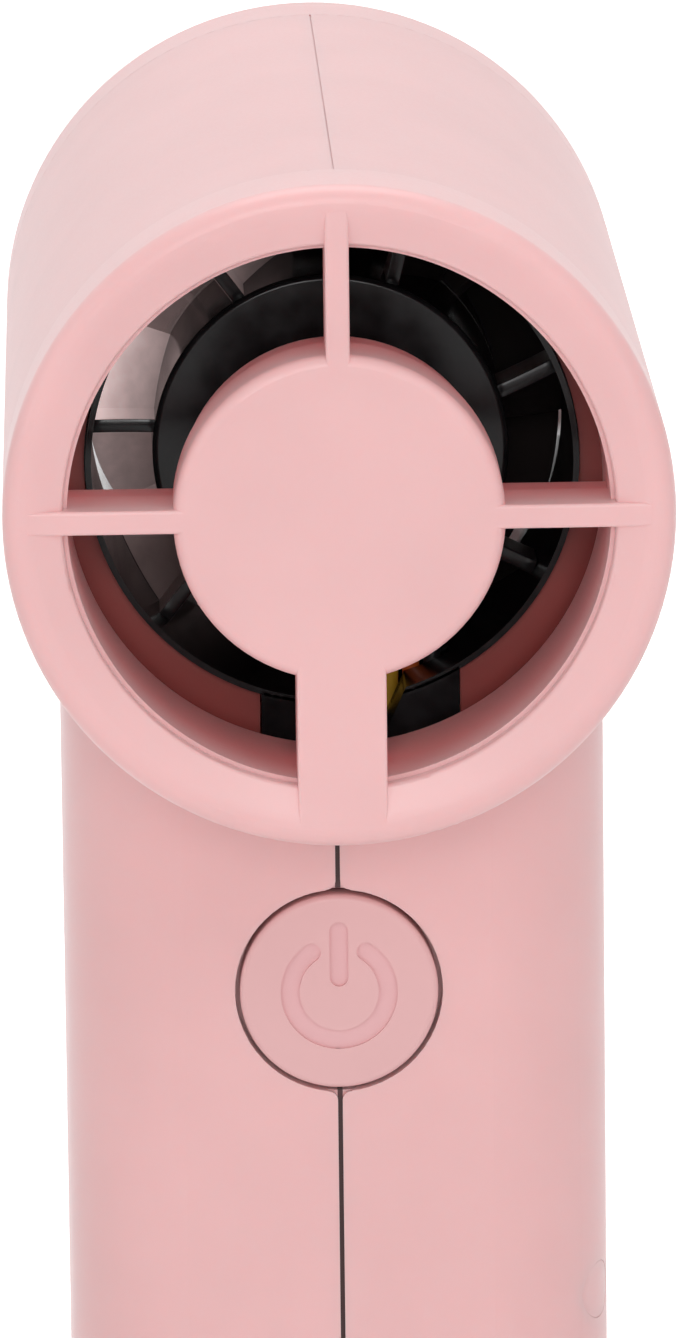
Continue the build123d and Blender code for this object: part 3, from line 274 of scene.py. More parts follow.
    def paint_bore_light_and_shade(self, tone: Socket, inside: Colour, radius: float, front: float) -> Socket:
        """Colour that deepens inside the barrel: painted shade and painted red light that stand for light
        coming through the coloured wall.

        Args:
            tone: Colour outside.
            inside: Linear colour deep inside, the painted light and shade.
            radius: Distance from the axis within which it changes.
            front: Depth behind the outlet at which it starts to change.

        Returns:
            The new colour.
        """
        near_axis = self.maths("LESS_THAN", self.axis_distance(), radius)
        limits = {"From_Min": OUTLET_Y + front, "From_Max": OUTLET_Y + front + BORE_FADE}
        behind = self.add("ShaderNodeMapRange", Value=self.along("Y"), **limits)
        return self.blend(self.maths("MULTIPLY", near_axis, behind.outputs["Result"]), tone, inside)

    def within_seam(self, tone: Socket, dark: Colour, half: float, y: float) -> Socket:
        """Colour that darkens down in the seam between the housing's halves.

        Args:
            tone: Colour outside.
            dark: Linear colour in the seam.
            half: Half the seam's width.
            y: Place just under the handle's front.

        Returns:
            The new colour.
        """
        factor = self.maths("COMPARE", self.along("X"), 0.0, half)
        behind = self.maths("GREATER_THAN", self.along("Y"), y)
        below = self.maths("LESS_THAN", self.along("Z"), SEAM_TOP)
        for limit in (behind, below):
            factor = self.maths("MULTIPLY", factor, limit)
        return self.blend(factor, tone, dark)

    def seen_directly(self) -> Socket:
        """1 for rays from the camera, and for those that gloss and glass send on.

        Returns:
            The value, 0 for all other rays.
        """
        path = self.add("ShaderNodeLightPath")
        total = path.outputs["Is Camera Ray"]
        for name in ("Is Glossy Ray", "Is Transmission Ray"):
            total = self.maths("MAXIMUM", total, path.outputs[name])
        return total


# ---- Finishes -----------------------------------------------------------------------------------
@dataclass(frozen=True)
class Finish:
    """A finish whose colour, roughness and fine relief follow one noise."""

    name: str
    colour: Colour
    roughness: float = 0.42
    scale: float = 100.0
    detail: float = 3.0
    stretch: Colour | None = None
    tones: Span = (0.9, 1.1)
    smoother: float = 0.04
    rougher: float = 0.04
    relief: float = 0.01 * MM
    relief_share: float = 1.0
    specular: float = 0.5

    def marks(self, sheet: NodeSheet) -> Socket:
        """The noise that the finish follows."""
        return sheet.noise(self.scale, self.detail, self.stretch)

    def tone(self, sheet: NodeSheet, marks: Socket) -> Socket:
        """Colour over the piece."""
        return sheet.vary(marks, self.colour, *self.tones)

    def rub(self, sheet: NodeSheet, marks: Socket) -> Socket:
        """Roughness over the piece."""
        return sheet.spread(marks, self.roughness - self.smoother, self.roughness + self.rougher)

    def extras(self, sheet: NodeSheet, tone: Socket) -> dict[str, object]:
        """Inputs of the Principled shader that only this kind of finish sets."""
        return {}

    def volume(self, sheet: NodeSheet) -> Socket | None:
        """What fills the inside of a see-through piece."""
        return None

    def material(self) -> bpy.types.Material:
        """Draw the finish.

        Returns:
            The new material.
        """
        sheet = NodeSheet(bpy.data.materials.new(self.name))
        marks = self.marks(sheet)
        tone = self.tone(sheet, marks)
        inputs = {
            "Base_Color": tone,
            "Roughness": self.rub(sheet, marks),
            "Specular_IOR_Level": self.specular,
            "Normal": sheet.bump(marks, self.relief, self.relief_share),
        }
        return sheet.finish(self.volume(sheet), **(inputs | self.extras(sheet, tone)))


@dataclass(frozen=True)
class MouldedPlastic(Finish):
    """Satin injection-moulded plastic with a fine eroded skin."""

    scale: float = 4200.0
    relief: float = 0.004 * MM
    mottle: float = 0.025
    mottle_scale: float = 95.0
    glow: float = 0.0
    glow_depth: float = 1.6 * MM
    glow_radius: Colour = (1.0, 0.32, 0.28)
    sheen: float = 0.0
    # Painted shade and light in the bore: its colour, and how far from the axis and from what depth it is
    # painted.
    inside: Colour | None = None
    painted_bore_radius: float = 0.0
    painted_bore_front: float = 0.0
    seam_half: float = 0.0
    seam_y: float = 0.0

    def tone(self, sheet: NodeSheet, marks: Socket) -> Socket:
        """Mottled colour, with painted shade and light deeper in the bore, and dark in the seam.

        Args:
            sheet: The material's sheet.
            marks: The noise of the skin; not used.

        Returns:
            The colour.
        """
        tone = sheet.vary(sheet.noise(self.mottle_scale), self.colour, 1 - self.mottle, 1 + self.mottle)
        if self.inside is not None:
            tone = sheet.paint_bore_light_and_shade(tone, self.inside, self.painted_bore_radius, self.painted_bore_front)
        if self.seam_half:
            tone = sheet.within_seam(tone, SEAM_SHADE, self.seam_half, self.seam_y)
        return tone

    def extras(self, sheet: NodeSheet, tone: Socket) -> dict[str, object]:
        """Inputs for the light in the plastic's skin.

        Args:
            sheet: The material's sheet; not used.
            tone: The colour; not used.

        Returns:
            Values by input name.
        """
        return {
            "Subsurface_Weight": self.glow,
            "Subsurface_Radius": self.glow_radius,
            "Subsurface_Scale": self.glow_depth,
            "Sheen_Weight": self.sheen,
        }


@dataclass(frozen=True)
class GlossBlack(Finish):
    """Glossy black plastic with faint flow lines from moulding."""

    roughness: float = 0.18
    scale: float = 60.0
    stretch: Colour | None = (9.0, 1.0, 9.0)
    tones: Span = (0.7, 1.4)
    rougher: float = 0.06
    relief_share: float = 0.35
    specular: float = 0.22


@dataclass(frozen=True)
class SmokedPlasticPaintedGlow(Finish):
    """Satin smoked plastic with painted glow on one side of the barrel and painted shade on the other."""

    roughness: float = 0.36
    scale: float = 140.0
    detail: float = 4.0
    stretch: Colour | None = (7.0, 0.5, 7.0)
    tones: Span = (0.88, 1.06)
    smoother: float = 0.05
    rougher: float = 0.05
    relief_share: float = 0.5
    # Painted light: strength of the painted glow, the side it is painted on, how far and how sharply it
    # reaches, and the colour factor of the painted shade on the far side.
    glow: float = 0.5
    painted_light_side: Colour = (-0.9, 0.0, 0.44)
    reach: float = 14.5 * MM
    falloff: float = 5.0
    depth: float = 0.04

    def extras(self, sheet: NodeSheet, tone: Socket) -> dict[str, object]:
        """Painted glow on one side of the barrel, and painted shade near black on the other.

        Args:
            sheet: The material's sheet.
            tone: The colour.

        Returns:
            Values and sockets by input name.
        """
        # The lit side is painted along a fixed direction in the piece's own coordinates; no lamp shines
        # there.
        way = Vector(self.painted_light_side) / self.reach
        side = sheet.vector_maths("DOT_PRODUCT", sheet.axis_offset(), way, result="Value")
        painted_light_share = sheet.add("ShaderNodeClamp", Value=side).outputs["Result"]
        power = sheet.maths("POWER", painted_light_share, self.falloff)
        # Strength of the painted glow, which is emission and not light from a lamp.
        through = sheet.add("ShaderNodeMapRange", Value=power, To_Max=self.glow)
        return {
            "Base_Color": sheet.blend(painted_light_share, shade(self.colour, self.depth), tone),
            "Emission_Color": tone,
            "Emission_Strength": through.outputs["Result"],
        }


@dataclass(frozen=True)
class ClearPlastic(Finish):
    """See-through plastic that darkens with its thickness, with faint flow lines."""

    roughness: float = 0.08
    scale: float = 110.0
    stretch: Colour | None = (9.0, 0.6, 9.0)
    tones: Span = (0.82, 1.0)
    smoother: float = 0.02
    rougher: float = 0.06
    relief: float = 0.02 * MM
    relief_share: float = 0.4
    index: float = 1.49
    density: float = 15.0

    def extras(self, sheet: NodeSheet, tone: Socket) -> dict[str, object]:
        """Inputs that let light through."""
        return {"IOR": self.index, "Transmission_Weight": 1.0}

    def volume(self, sheet: NodeSheet) -> Socket | None:
        """Loss of light on its way through the plastic."""
        inside = sheet.add("ShaderNodeVolumeAbsorption", Color=(*self.colour, 1.0), Density=self.density)
        return inside.outputs["Volume"]


class Metalwork(Enum):
    """How a metal's surface was made, with streaks across each axis."""

    TURNED_Y = (1.0, 60.0, 1.0)
    DRAWN = (1.0, 1.0, 1.0)
    LAMINATED = (1.0, 40.0, 1.0)
    ROLLED_Z = (50.0, 50.0, 1.0)


@dataclass(frozen=True)
class Metal(Finish):
    """Metal with the fine marks of how it was made."""

    scale: float = 180.0
    detail: float = 4.0
    tones: Span = (0.86, 1.1)
    smoother: float = 0.06
    rougher: float = 0.08
    relief: float = 0.006 * MM
    relief_share: float = 0.6
    work: Metalwork = Metalwork.DRAWN

    def marks(self, sheet: NodeSheet) -> Socket:
        """The noise drawn out along the marks."""
        return sheet.noise(self.scale, self.detail, self.work.value)

    def extras(self, sheet: NodeSheet, tone: Socket) -> dict[str, object]:
        """Input that makes it metal."""
        return {"Metallic": 1.0}


@dataclass(frozen=True)
class CableRubber(Finish):
    """Soft insulation of a thin lead."""

    roughness: float = 0.38
    scale: float = 900.0
    detail: float = 2.0
    stretch: Colour | None = (1.0, 1.0, 0.25)
    tones: Span = (0.88, 1.08)
    smoother: float = 0.08
    rougher: float = 0.08
    relief: float = 0.004 * MM
    specular: float = 0.45


@dataclass(frozen=True)
class Fibre(Finish):
    """Foam or pressed paper: matt, with open pores."""

    roughness: float = 0.875
    detail: float = 5.0
    tones: Span = (0.75, 1.15)
    smoother: float = 0.075
    rougher: float = 0.075
    relief: float = 0.05 * MM
    relief_share: float = 0.7


@dataclass(frozen=True)
class CircuitBoard(Finish):
    """Solder resist over copper tracks."""

    roughness: float = 0.35
    scale: float = 800.0
    detail: float = 2.0
    smoother: float = 0.07
    rougher: float = 0.07
    relief: float = 0.02 * MM
    relief_share: float = 0.4
    track: Colour = (0.03, 0.2, 0.085)
    pitch: float = 700.0
    track_width: float = 0.06
    coat: float = 0.3

    def material(self) -> bpy.types.Material:
        """Draw the resist and the tracks.

        Returns:
            The new material.
        """
        sheet = NodeSheet(bpy.data.materials.new(self.name))
        pattern = {"Vector": sheet.coordinates, "Scale": self.pitch, "Mortar_Size": self.track_width}
        cells = sheet.add("ShaderNodeTexBrick", **pattern).outputs["Fac"]
        return sheet.finish(
            Base_Color=sheet.blend(cells, self.colour, self.track),
            Roughness=self.rub(sheet, self.marks(sheet)),
            Coat_Weight=self.coat,
            Normal=sheet.bump(cells, self.relief, self.relief_share),
        )


PINK = screen_colour(233, 184, 184)
HOUSING_PINK = screen_colour(230, 181, 181)
BUTTON_PINK = screen_colour(222, 174, 174)
SYMBOL_PINK = screen_colour(224, 174, 176)
# Painted reddened light in the outlet bore, and painted shade deep in the barrel.
BORE_PAINTED_LIGHT_PINK = screen_colour(250, 150, 150)
INNER_PAINTED_SHADE_PINK = screen_colour(170, 70, 64)
SEAM_SHADE = screen_colour(70, 26, 26)


class Finishes:
    """Every finish on the fan, and the CAD nodes that wear it."""

    def __init__(self) -> None:
        """Make the materials."""
        steel = (0.56, 0.56, 0.58)
        # Housing and grille carry painted shade and painted light inside the bore.
        self.housing = MouldedPlastic(
            "housing_satin_pink",
            HOUSING_PINK,
            glow=0.3,
            sheen=0.2,
            inside=INNER_PAINTED_SHADE_PINK,
            painted_bore_radius=19.6 * MM,
            painted_bore_front=6.0 * MM,
            seam_half=0.17 * MM,
            seam_y=-20.9 * MM,
        ).material()
        self.grille = MouldedPlastic(
            "grille_satin_pink",
            PINK,
            roughness=0.38,
            glow=0.3,
            sheen=0.2,
            inside=BORE_PAINTED_LIGHT_PINK,
            painted_bore_radius=19.0 * MM,
            painted_bore_front=1.0 * MM,
        ).material()
        self.button = MouldedPlastic("button_satin_pink", BUTTON_PINK, 0.4, mottle=0.015).material()
        self.symbol = MouldedPlastic("symbol_recess_pink", SYMBOL_PINK, 0.55, mottle=0.01).material()
        self.screw = Metal("screw_zinc", (0.5, 0.5, 0.52), 0.34, work=Metalwork.DRAWN).material()
        self.stator = GlossBlack("stator_gloss_black", (0.012, 0.0115, 0.0125)).material()
        # Vanes and impeller: painted glow on the left side and painted shade near black on the right, in
        # place of light seen through smoked plastic.
        self.vane = SmokedPlasticPaintedGlow("vane_smoke_painted_glow", (0.72, 0.54, 0.53), glow=0.85).material()
        self.impeller = SmokedPlasticPaintedGlow(
            "impeller_smoke_painted_glow", (0.72, 0.55, 0.54), glow=0.2, painted_light_side=(-1.0, 0.0, 0.05), falloff=3.0
        ).material()
        self.contact = Metal("contact_gold", (0.83, 0.6, 0.24), 0.24, work=Metalwork.DRAWN).material()
        leads = {
            "motor_lead_yellow": screen_colour(233, 190, 60),
            "motor_lead_orange": screen_colour(226, 110, 52),
            "motor_lead_black": screen_colour(30, 29, 32),
            "battery_lead_red": screen_colour(190, 34, 30),
            "battery_lead_black": screen_colour(30, 29, 32),
        }
        turned_y, rolled_z, laminated = Metalwork.TURNED_Y, Metalwork.ROLLED_Z, Metalwork.LAMINATED
        ferrite = (0.07, 0.07, 0.075)
        black = MouldedPlastic("component_black", (0.018, 0.018, 0.019), 0.5, 2600.0).material()
        bearing = Metal("bearing_steel", steel, 0.2, work=turned_y).material()
        board = CircuitBoard("board_green", (0.012, 0.11, 0.045)).material()
        self.by_node: dict[str, bpy.types.Material] = {
            "left_shell": self.housing,
            "right_shell": self.housing,
            "front_grille": self.grille,
            "rear_grille": self.grille,
            "power_button": self.button,
            "stator_duct": self.stator,
            "impeller": self.impeller,
            "shell_screws": self.screw,
            "shaft_clip": self.screw,
            "front_bearing": bearing,
            "rear_bearing": bearing,
            "motor_shaft": Metal("shaft_ground_steel", steel, 0.14, work=turned_y).material(),
            "stator_core": Metal("core_laminations", (0.2, 0.2, 0.21), 0.45, work=laminated).material(),
            "motor_bell": Metal("bell_zinc_steel", (0.42, 0.42, 0.44), 0.3, work=turned_y).material(),
            "magnet_ring": MouldedPlastic("magnet_ferrite", (0.06, 0.06, 0.065), 0.6, 1800.0).material(),
            "stator_windings": Metal("winding_copper", (0.6, 0.25, 0.1), 0.3, work=turned_y).material(),
            "motor_board": board,
            "control_board": board,
            "motor_plug": MouldedPlastic("plug_ivory", (0.72, 0.68, 0.58), 0.45).material(),
            "switch_body": black,
            "switch_plunger": black,
            "driver_chips": black,
            "usb_tongue": black,
            "power_inductor": MouldedPlastic("inductor_ferrite", ferrite, 0.65, 1800.0).material(),
            "board_capacitors": Metal("can_aluminium", (0.72, 0.72, 0.74), 0.25, work=turned_y).material(),
            "usb_socket": Metal("socket_steel", steel, 0.22, work=rolled_z).material(),
            "status_led": MouldedPlastic("led_phosphor", (0.8, 0.78, 0.5), 0.3).material(),
            "light_pipe": ClearPlastic("pipe_clear", (0.98, 0.98, 0.98)).material(),
            "battery_cell": MouldedPlastic("cell_wrap_blue", (0.02, 0.16, 0.36), 0.25, 300.0).material(),
            "battery_ring": Fibre("ring_paper", (0.72, 0.7, 0.62), scale=2500.0).material(),
            "battery_tabs": Metal("tab_nickel", (0.62, 0.6, 0.56), 0.28, work=rolled_z).material(),
            "battery_pads": Fibre("pad_foam", (0.05, 0.05, 0.052), scale=1500.0).material(),
        }
        for node, colour in leads.items():
            self.by_node[node] = CableRubber(f"{node}_rubber", colour).material()

    def dress_nodes(self) -> None:
        """Give every CAD node its finish."""
        for name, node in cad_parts.items():
            dress(node, self.by_node[name])
            LOG.info("dressed %s with %s", name, self.by_node[name].name)


def dress(piece: Piece, *materials: bpy.types.Material) -> None:
    """Put materials in a piece's slots, in place of any others.

    Args:
        piece: The piece.
        materials: The materials in the order of the slots.
    """
    piece.data.materials.clear()
    for material in materials:
        piece.data.materials.append(material)


def settle(piece: Piece, *materials: bpy.types.Material, rounded: bool = True) -> None:
    """Dress a finished piece and report it.

    Args:
        piece: The piece.
        materials: Its materials in the order of the slots.
        rounded: Whether it is shaded smooth except across sharp edges.
    """
    dress(piece, *materials)
    if rounded:
        activate(piece)
        bpy.ops.object.shade_smooth_by_angle(angle=math.radians(SMOOTH_ANGLE))
    LOG.info("built %s: %d faces", piece.name, len(piece.data.polygons))


# ---- Modelling by operators ---------------------------------------------------------------------
def deselect() -> None:
    """Leave object mode with nothing selected."""
    if bpy.context.object and bpy.context.object.mode != "OBJECT":
        bpy.ops.object.mode_set(mode="OBJECT")
    bpy.ops.object.select_all(action="DESELECT")


def activate(*pieces: Piece) -> None:
    """Select pieces and make the first one active.

    Args:
        pieces: The pieces; all others are deselected.
    """
    deselect()
    for piece in pieces:
        piece.select_set(True)
    bpy.context.view_layer.objects.active = pieces[0]


def take_active(name: str) -> Piece:
    """Name the object just added and put its place into its mesh.

    Args:
        name: New name of the object.

    Returns:
        The object, at the origin.
    """
    piece = bpy.context.object
    piece.name = name
    piece.data.name = name
    bpy.ops.object.transform_apply(location=True, rotation=True, scale=True)
    return piece


def modify(piece: Piece, kind: str, **settings: object) -> None:
    """Apply one modifier to a piece.

    Args:
        piece: The piece.
        kind: Blender's type name of the modifier.
        settings: Its settings by name.
    """
    activate(piece)
    modifier = piece.modifiers.new(kind.lower(), kind)
    for name, value in settings.items():
        setattr(modifier, name, value)
    bpy.ops.object.modifier_apply(modifier=modifier.name)


def edit_all() -> None:
    """Enter edit mode with the whole mesh selected."""
    bpy.ops.object.mode_set(mode="EDIT")
    bpy.ops.mesh.select_all(action="SELECT")


def spin(axis: Vector, angle: float, steps: int, weld: float = 0.0, copies: bool = False) -> None:
    """Turn the mesh in edit mode round an axis parallel to Y and leave edit mode.

    Args:
        axis: Any point on the axis.
        angle: How far it turns.
        steps: Steps on the way.
        weld: Distance within which points are merged, or 0 to leave them.
        copies: Whether each step leaves a copy instead of a surface.
    """
    bpy.ops.mesh.select_all(action="SELECT")
    bpy.ops.mesh.spin(steps=steps, dupli=copies, angle=angle, center=axis, axis=(0, 1, 0))
    bpy.ops.mesh.select_all(action="SELECT")
    if weld:
        bpy.ops.mesh.remove_doubles(threshold=weld)
    bpy.ops.mesh.normals_make_consistent(inside=False)
    bpy.ops.object.mode_set(mode="OBJECT")


def lathe(name: str, outline: Outline, axis: Vector, steps: int = 160) -> Piece:
    """Turn an outline round an axis parallel to Y.

    Args:
        name: Name of the piece.
        outline: Points as (radius, y), drawn from the axis and back to it.
        axis: Any point on the axis.
        steps: Segments round the axis.

    Returns:
        The closed piece.
    """
    deselect()
    radius, y = outline[0]
    bpy.ops.mesh.primitive_plane_add(size=MM, location=(axis.x + radius, y, axis.z))
    piece = take_active(name)
    edit_all()
    bpy.ops.mesh.merge(type="CENTER")
    for (r0, y0), (r1, y1) in zip(outline, outline[1:]):
        bpy.ops.mesh.extrude_region_move(TRANSFORM_OT_translate={"value": (r1 - r0, y1 - y0, 0)})
    spin(axis, math.tau, steps, weld=WELD)
    return piece


def rod(name: str, radius: float, ends: Span, place: Span, sides: int = 64) -> Piece:
    """Cylinder along Y.

    Args:
        name: Name of the piece.
        radius: Its radius.
        ends: Y of its front and back.
        place: X and Z of its axis.
        sides: Segments round it.

    Returns:
        The cylinder.
    """
    deselect()
    middle = (place[0], (ends[0] + ends[1]) / 2, place[1])
    upright = {"location": middle, "rotation": (math.pi / 2, 0, 0)}
    bpy.ops.mesh.primitive_cylinder_add(vertices=sides, radius=radius, depth=ends[1] - ends[0], **upright)
    return take_active(name)


def box_piece(name: str, low: Vector, high: Vector) -> Piece:
    """Box between two corners.

    Args:
        name: Name of the piece.
        low: Its least corner.
        high: Its greatest corner.

    Returns:
        The box.
    """
    deselect()
    bpy.ops.mesh.primitive_cube_add(size=1.0, location=(low + high) / 2, scale=high - low)
    return take_active(name)


def carve(piece: Piece, *cutters: Piece, operation: str = "DIFFERENCE") -> None:
    """Cut shapes out of a piece and delete them.

    Args:
        piece: What is cut.
        cutters: Closed shapes, used one after the other.
        operation: DIFFERENCE to cut them out, INTERSECT to keep what is inside them.
    """
    for cutter in cutters:
        modify(piece, "BOOLEAN", operation=operation, solver="EXACT", object=cutter)
        bpy.data.objects.remove(cutter)


def join(name: str, *pieces: Piece) -> Piece:
    """Join pieces into the first.

    Args:
        name: Name of the joined piece.
        pieces: The pieces.

    Returns:
        The joined piece.
    """
    activate(*pieces)
    bpy.ops.object.join()
    pieces[0].name = name
    pieces[0].data.name = name
    return pieces[0]


def arc_points(centre: Span, radius: float, start: float, end: float, count: int) -> Outline:
    """Points on an arc in the (radius, y) plane, from one angle to another in degrees."""
    angles = [math.radians(start + (end - start) * i / count) for i in range(count + 1)]
    return [(centre[0] + radius * math.cos(a), centre[1] + radius * math.sin(a)) for a in angles]


def depth(distance: float) -> float:
    """World Y of a plane this far behind the outlet plane."""
    return OUTLET_Y + distance


def turned(name: str, outline: Outline, closed: bool = False) -> Piece:
    """Piece turned round the barrel's axis.

    Args:
        name: Name of the piece.
        outline: Points as (radius, depth).
        closed: Whether the outline goes back to its first point, as a ring's does.

    Returns:
        The piece.
    """
    points = [(max(0.0, radius), depth(distance)) for radius, distance in outline]
    return lathe(name, points + points[:1] if closed else points, AXIS)


# ---- Power button -------------------------------------------------------------------------------
@dataclass
class PowerButton:
    """Button cap with its rounded edge and recessed power symbol."""

    edge: float = 0.4 * MM
    recess: float = 0.2 * MM
    ring_outer: float = 3.77 * MM
    ring_inner: float = 2.55 * MM
    ring_gap: float = 34.0
    bar_width: float = 1.2 * MM
    bar_low: float = 0.36 * MM
    bar_high: float = 4.6 * MM
    stem_radius: float = 1.6 * MM
    flange_thickness: float = 0.8 * MM
    flange_width: float = 0.9 * MM
    stem_length: float = 2.0 * MM
    sides: int = 160
    edge_steps: int = 8
    ring_steps: int = 72
    ring_weld: float = 0.1 * WELD
    forward_limit: float = -0.9

    def build(self, finishes: Finishes) -> Piece:
        """Make the button and put it in place of its CAD solid.

        Args:
            finishes: The fan's finishes.

        Returns:
            The button.
        """
        low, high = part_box("power_button")
        centre = (low + high) / 2
        radius = (high.x - low.x) / 2 - self.flange_width
        face = low.y
        flange_back = high.y - self.stem_length
        flange_front = flange_back - self.flange_thickness
        outline = [(0.0, face), (radius - self.edge, face)]
        outline += arc_points((radius - self.edge, face + self.edge), self.edge, -90, 0, self.edge_steps)[1:]
        outline += [
            (radius, flange_front),
            (radius + self.flange_width, flange_front),
            (radius + self.flange_width, flange_back),
            (self.stem_radius, flange_back),
            (self.stem_radius, high.y),
            (0.0, high.y),
        ]
        cap = lathe("button_cap", outline, centre, self.sides)
        self.recess_symbol(cap, centre, face)
        settle(cap, finishes.button, finishes.symbol)
        self.mark_recess(cap, face)
        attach(cap, "power_button")
        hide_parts("power_button")
        return cap

    def recess_symbol(self, cap: Piece, centre: Vector, face: float) -> None:
        """Carve the symbol's ring and bar.

        Args:
            cap: The button.
            centre: Centre of the cap.
            face: Y of the cap's face.
        """
        ends = near, floor = face - MM, face + self.recess
        middle = (self.ring_outer + self.ring_inner) / 2
        half = (self.ring_outer - self.ring_inner) / 2
        cutters = [self.ring_cutter(centre, near, floor)]
        angle = math.radians(self.ring_gap)
        for side in (-1, 1):
            place = (centre.x + side * middle * math.sin(angle), centre.z + middle * math.cos(angle))
            cutters.append(rod("end", half, ends, place))
        half = self.bar_width / 2
        low, high = centre.z + self.bar_low + half, centre.z + self.bar_high - half
        corner = Vector((centre.x + half, floor, high))
        cutters.append(box_piece("bar", Vector((centre.x - half, near, low)), corner))
        cutters += [rod("bar_end", half, ends, (centre.x, z)) for z in (low, high)]
        carve(cap, *cutters)

    def ring_cutter(self, centre: Vector, near: float, floor: float) -> Piece:
        """Open ring of the symbol as a closed shape.

        Args:
            centre: Centre of the ring.
            near: Front of the shape.
            floor: Back of the shape.

        Returns:
            The shape.
        """
        deselect()
        start = math.radians(self.ring_gap)
        bpy.ops.mesh.primitive_plane_add(size=1.0, location=(0, 0, 0))
        ring = take_active("ring")
        for vertex in ring.data.vertices:
            across = self.ring_outer if vertex.co.x > 0 else self.ring_inner
            y = floor if vertex.co.y > 0 else near
            vertex.co = (centre.x + across * math.sin(start), y, centre.z + across * math.cos(start))
        activate(ring)
        edit_all()
        spin(Vector((centre.x, 0, centre.z)), 2 * start - math.tau, self.ring_steps, weld=self.ring_weld)
        return ring

    def mark_recess(self, cap: Piece, face: float) -> None:
        """Give the floor of the symbol its own finish.

        Args:
            cap: The button.
            face: Y of the cap's face.
        """
        for polygon in cap.data.polygons:
            sunk = abs(polygon.center.y - face - self.recess) < self.recess / 2
            forward = polygon.normal.y < self.forward_limit
            polygon.material_index = 1 if sunk and forward else 0


# ---- Screws -------------------------------------------------------------------------------------
@dataclass
class HousingScrews:
    """Pan-head screws with cross recesses."""

    head_radius: float = 1.8 * MM
    head_height: float = 1.3 * MM
    shank_radius: float = 0.95 * MM
    thread_pitch: float = 0.8 * MM
    slot_width: float = 0.45 * MM
    slot_length: float = 2.0 * MM
    slot_depth: float = 0.8 * MM
    point_share: float = 0.4
    root_share: float = 0.78
    thread_start: float = 0.3 * MM
    thread_width: float = 0.48 * MM
    crown_share: float = 0.45
    crown_angles: tuple[float, ...] = (25, 50, 70, 90)
    sides: int = 48
    face_margin: float = 0.01 * MM
    head_reach: float = 2.2
    place_digits: int = 4

    def build(self, finishes: Finishes) -> Piece:
        """Make the screws in place of their CAD solids.

        Args:
            finishes: The fan's finishes.

        Returns:
            The screws as one piece.
        """
        low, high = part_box("shell_screws")
        places = [Vector((0, y, z)) for y, z in self.places()]
        screws = [self.screw(f"screw_{i}", place, low.x, high.x) for i, place in enumerate(places)]
        piece = join("cross_head_screws", *screws)
        settle(piece, finishes.screw)
        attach(piece, "housing")
        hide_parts("shell_screws")
        return piece

    def places(self) -> list[Span]:
        """Places of the screws.

        Returns:
            Each screw's (y, z).
        """
        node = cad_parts["shell_screws"]
        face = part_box("shell_screws")[1].x - self.face_margin
        return sorted({self.island(node, v.co) for v in node.data.vertices if v.co.x > face})

    def island(self, node: Piece, corner: Vector) -> Span:
        """Centre of the screw head that a corner of the CAD node belongs to.

        Args:
            node: The CAD node of all screws.
            corner: A point on a head's outer face.

        Returns:
            Its (y, z), rounded to a tenth of a millimetre so that all its corners agree.
        """
        reach = self.head_reach * self.head_radius
        level = [v.co for v in node.data.vertices if abs(v.co.x - corner.x) < self.face_margin]
        near = [p for p in level if (p - corner).length < reach]
        y = (min(p.y for p in near) + max(p.y for p in near)) / 2
        z = (min(p.z for p in near) + max(p.z for p in near)) / 2
        return round(y, self.place_digits), round(z, self.place_digits)

    def screw(self, name: str, place: Vector, tip: float, top: float) -> Piece:
        """One screw along X.

        Args:
            name: Its name.
            place: A point on its axis.
            tip: X of its tip.
            top: X of its head's face.

        Returns:
            The screw.
        """
        outline = [(0.0, 0.0), (self.shank_radius * self.point_share, 0.0)]
        height = top - tip
        length = height - self.head_height
        root = self.shank_radius * self.root_share
        for turn in range(int(length / self.thread_pitch)):
            start = self.thread_start + turn * self.thread_pitch
            crest = (self.shank_radius, start + self.thread_width / 2)
            outline += [(root, start), crest, (root, start + self.thread_width)]
        crown = self.crown_share * self.head_height
        outline += [(root, length), (self.head_radius, length), (self.head_radius, height - crown)]
        for angle in map(math.radians, self.crown_angles):
            outline.append((self.head_radius * math.cos(angle), height - crown + crown * math.sin(angle)))
        outline[-1] = (0.0, height)
        screw = lathe(name, outline, Vector((0, 0, 0)), self.sides)
        half = self.slot_width / 2
        reach = self.slot_length / 2
        floor = height - self.slot_depth
        slots = [
            box_piece("slot", Vector((-reach, floor, -half)), Vector((reach, top, half))),
            box_piece("slot", Vector((-half, floor, -reach)), Vector((half, top, reach))),
        ]
        carve(screw, *slots)
        upright = Matrix.Rotation(-math.pi / 2, 4, "Z")
        screw.data.transform(Matrix.Translation((tip, place.y, place.z)) @ upright)
        return screw


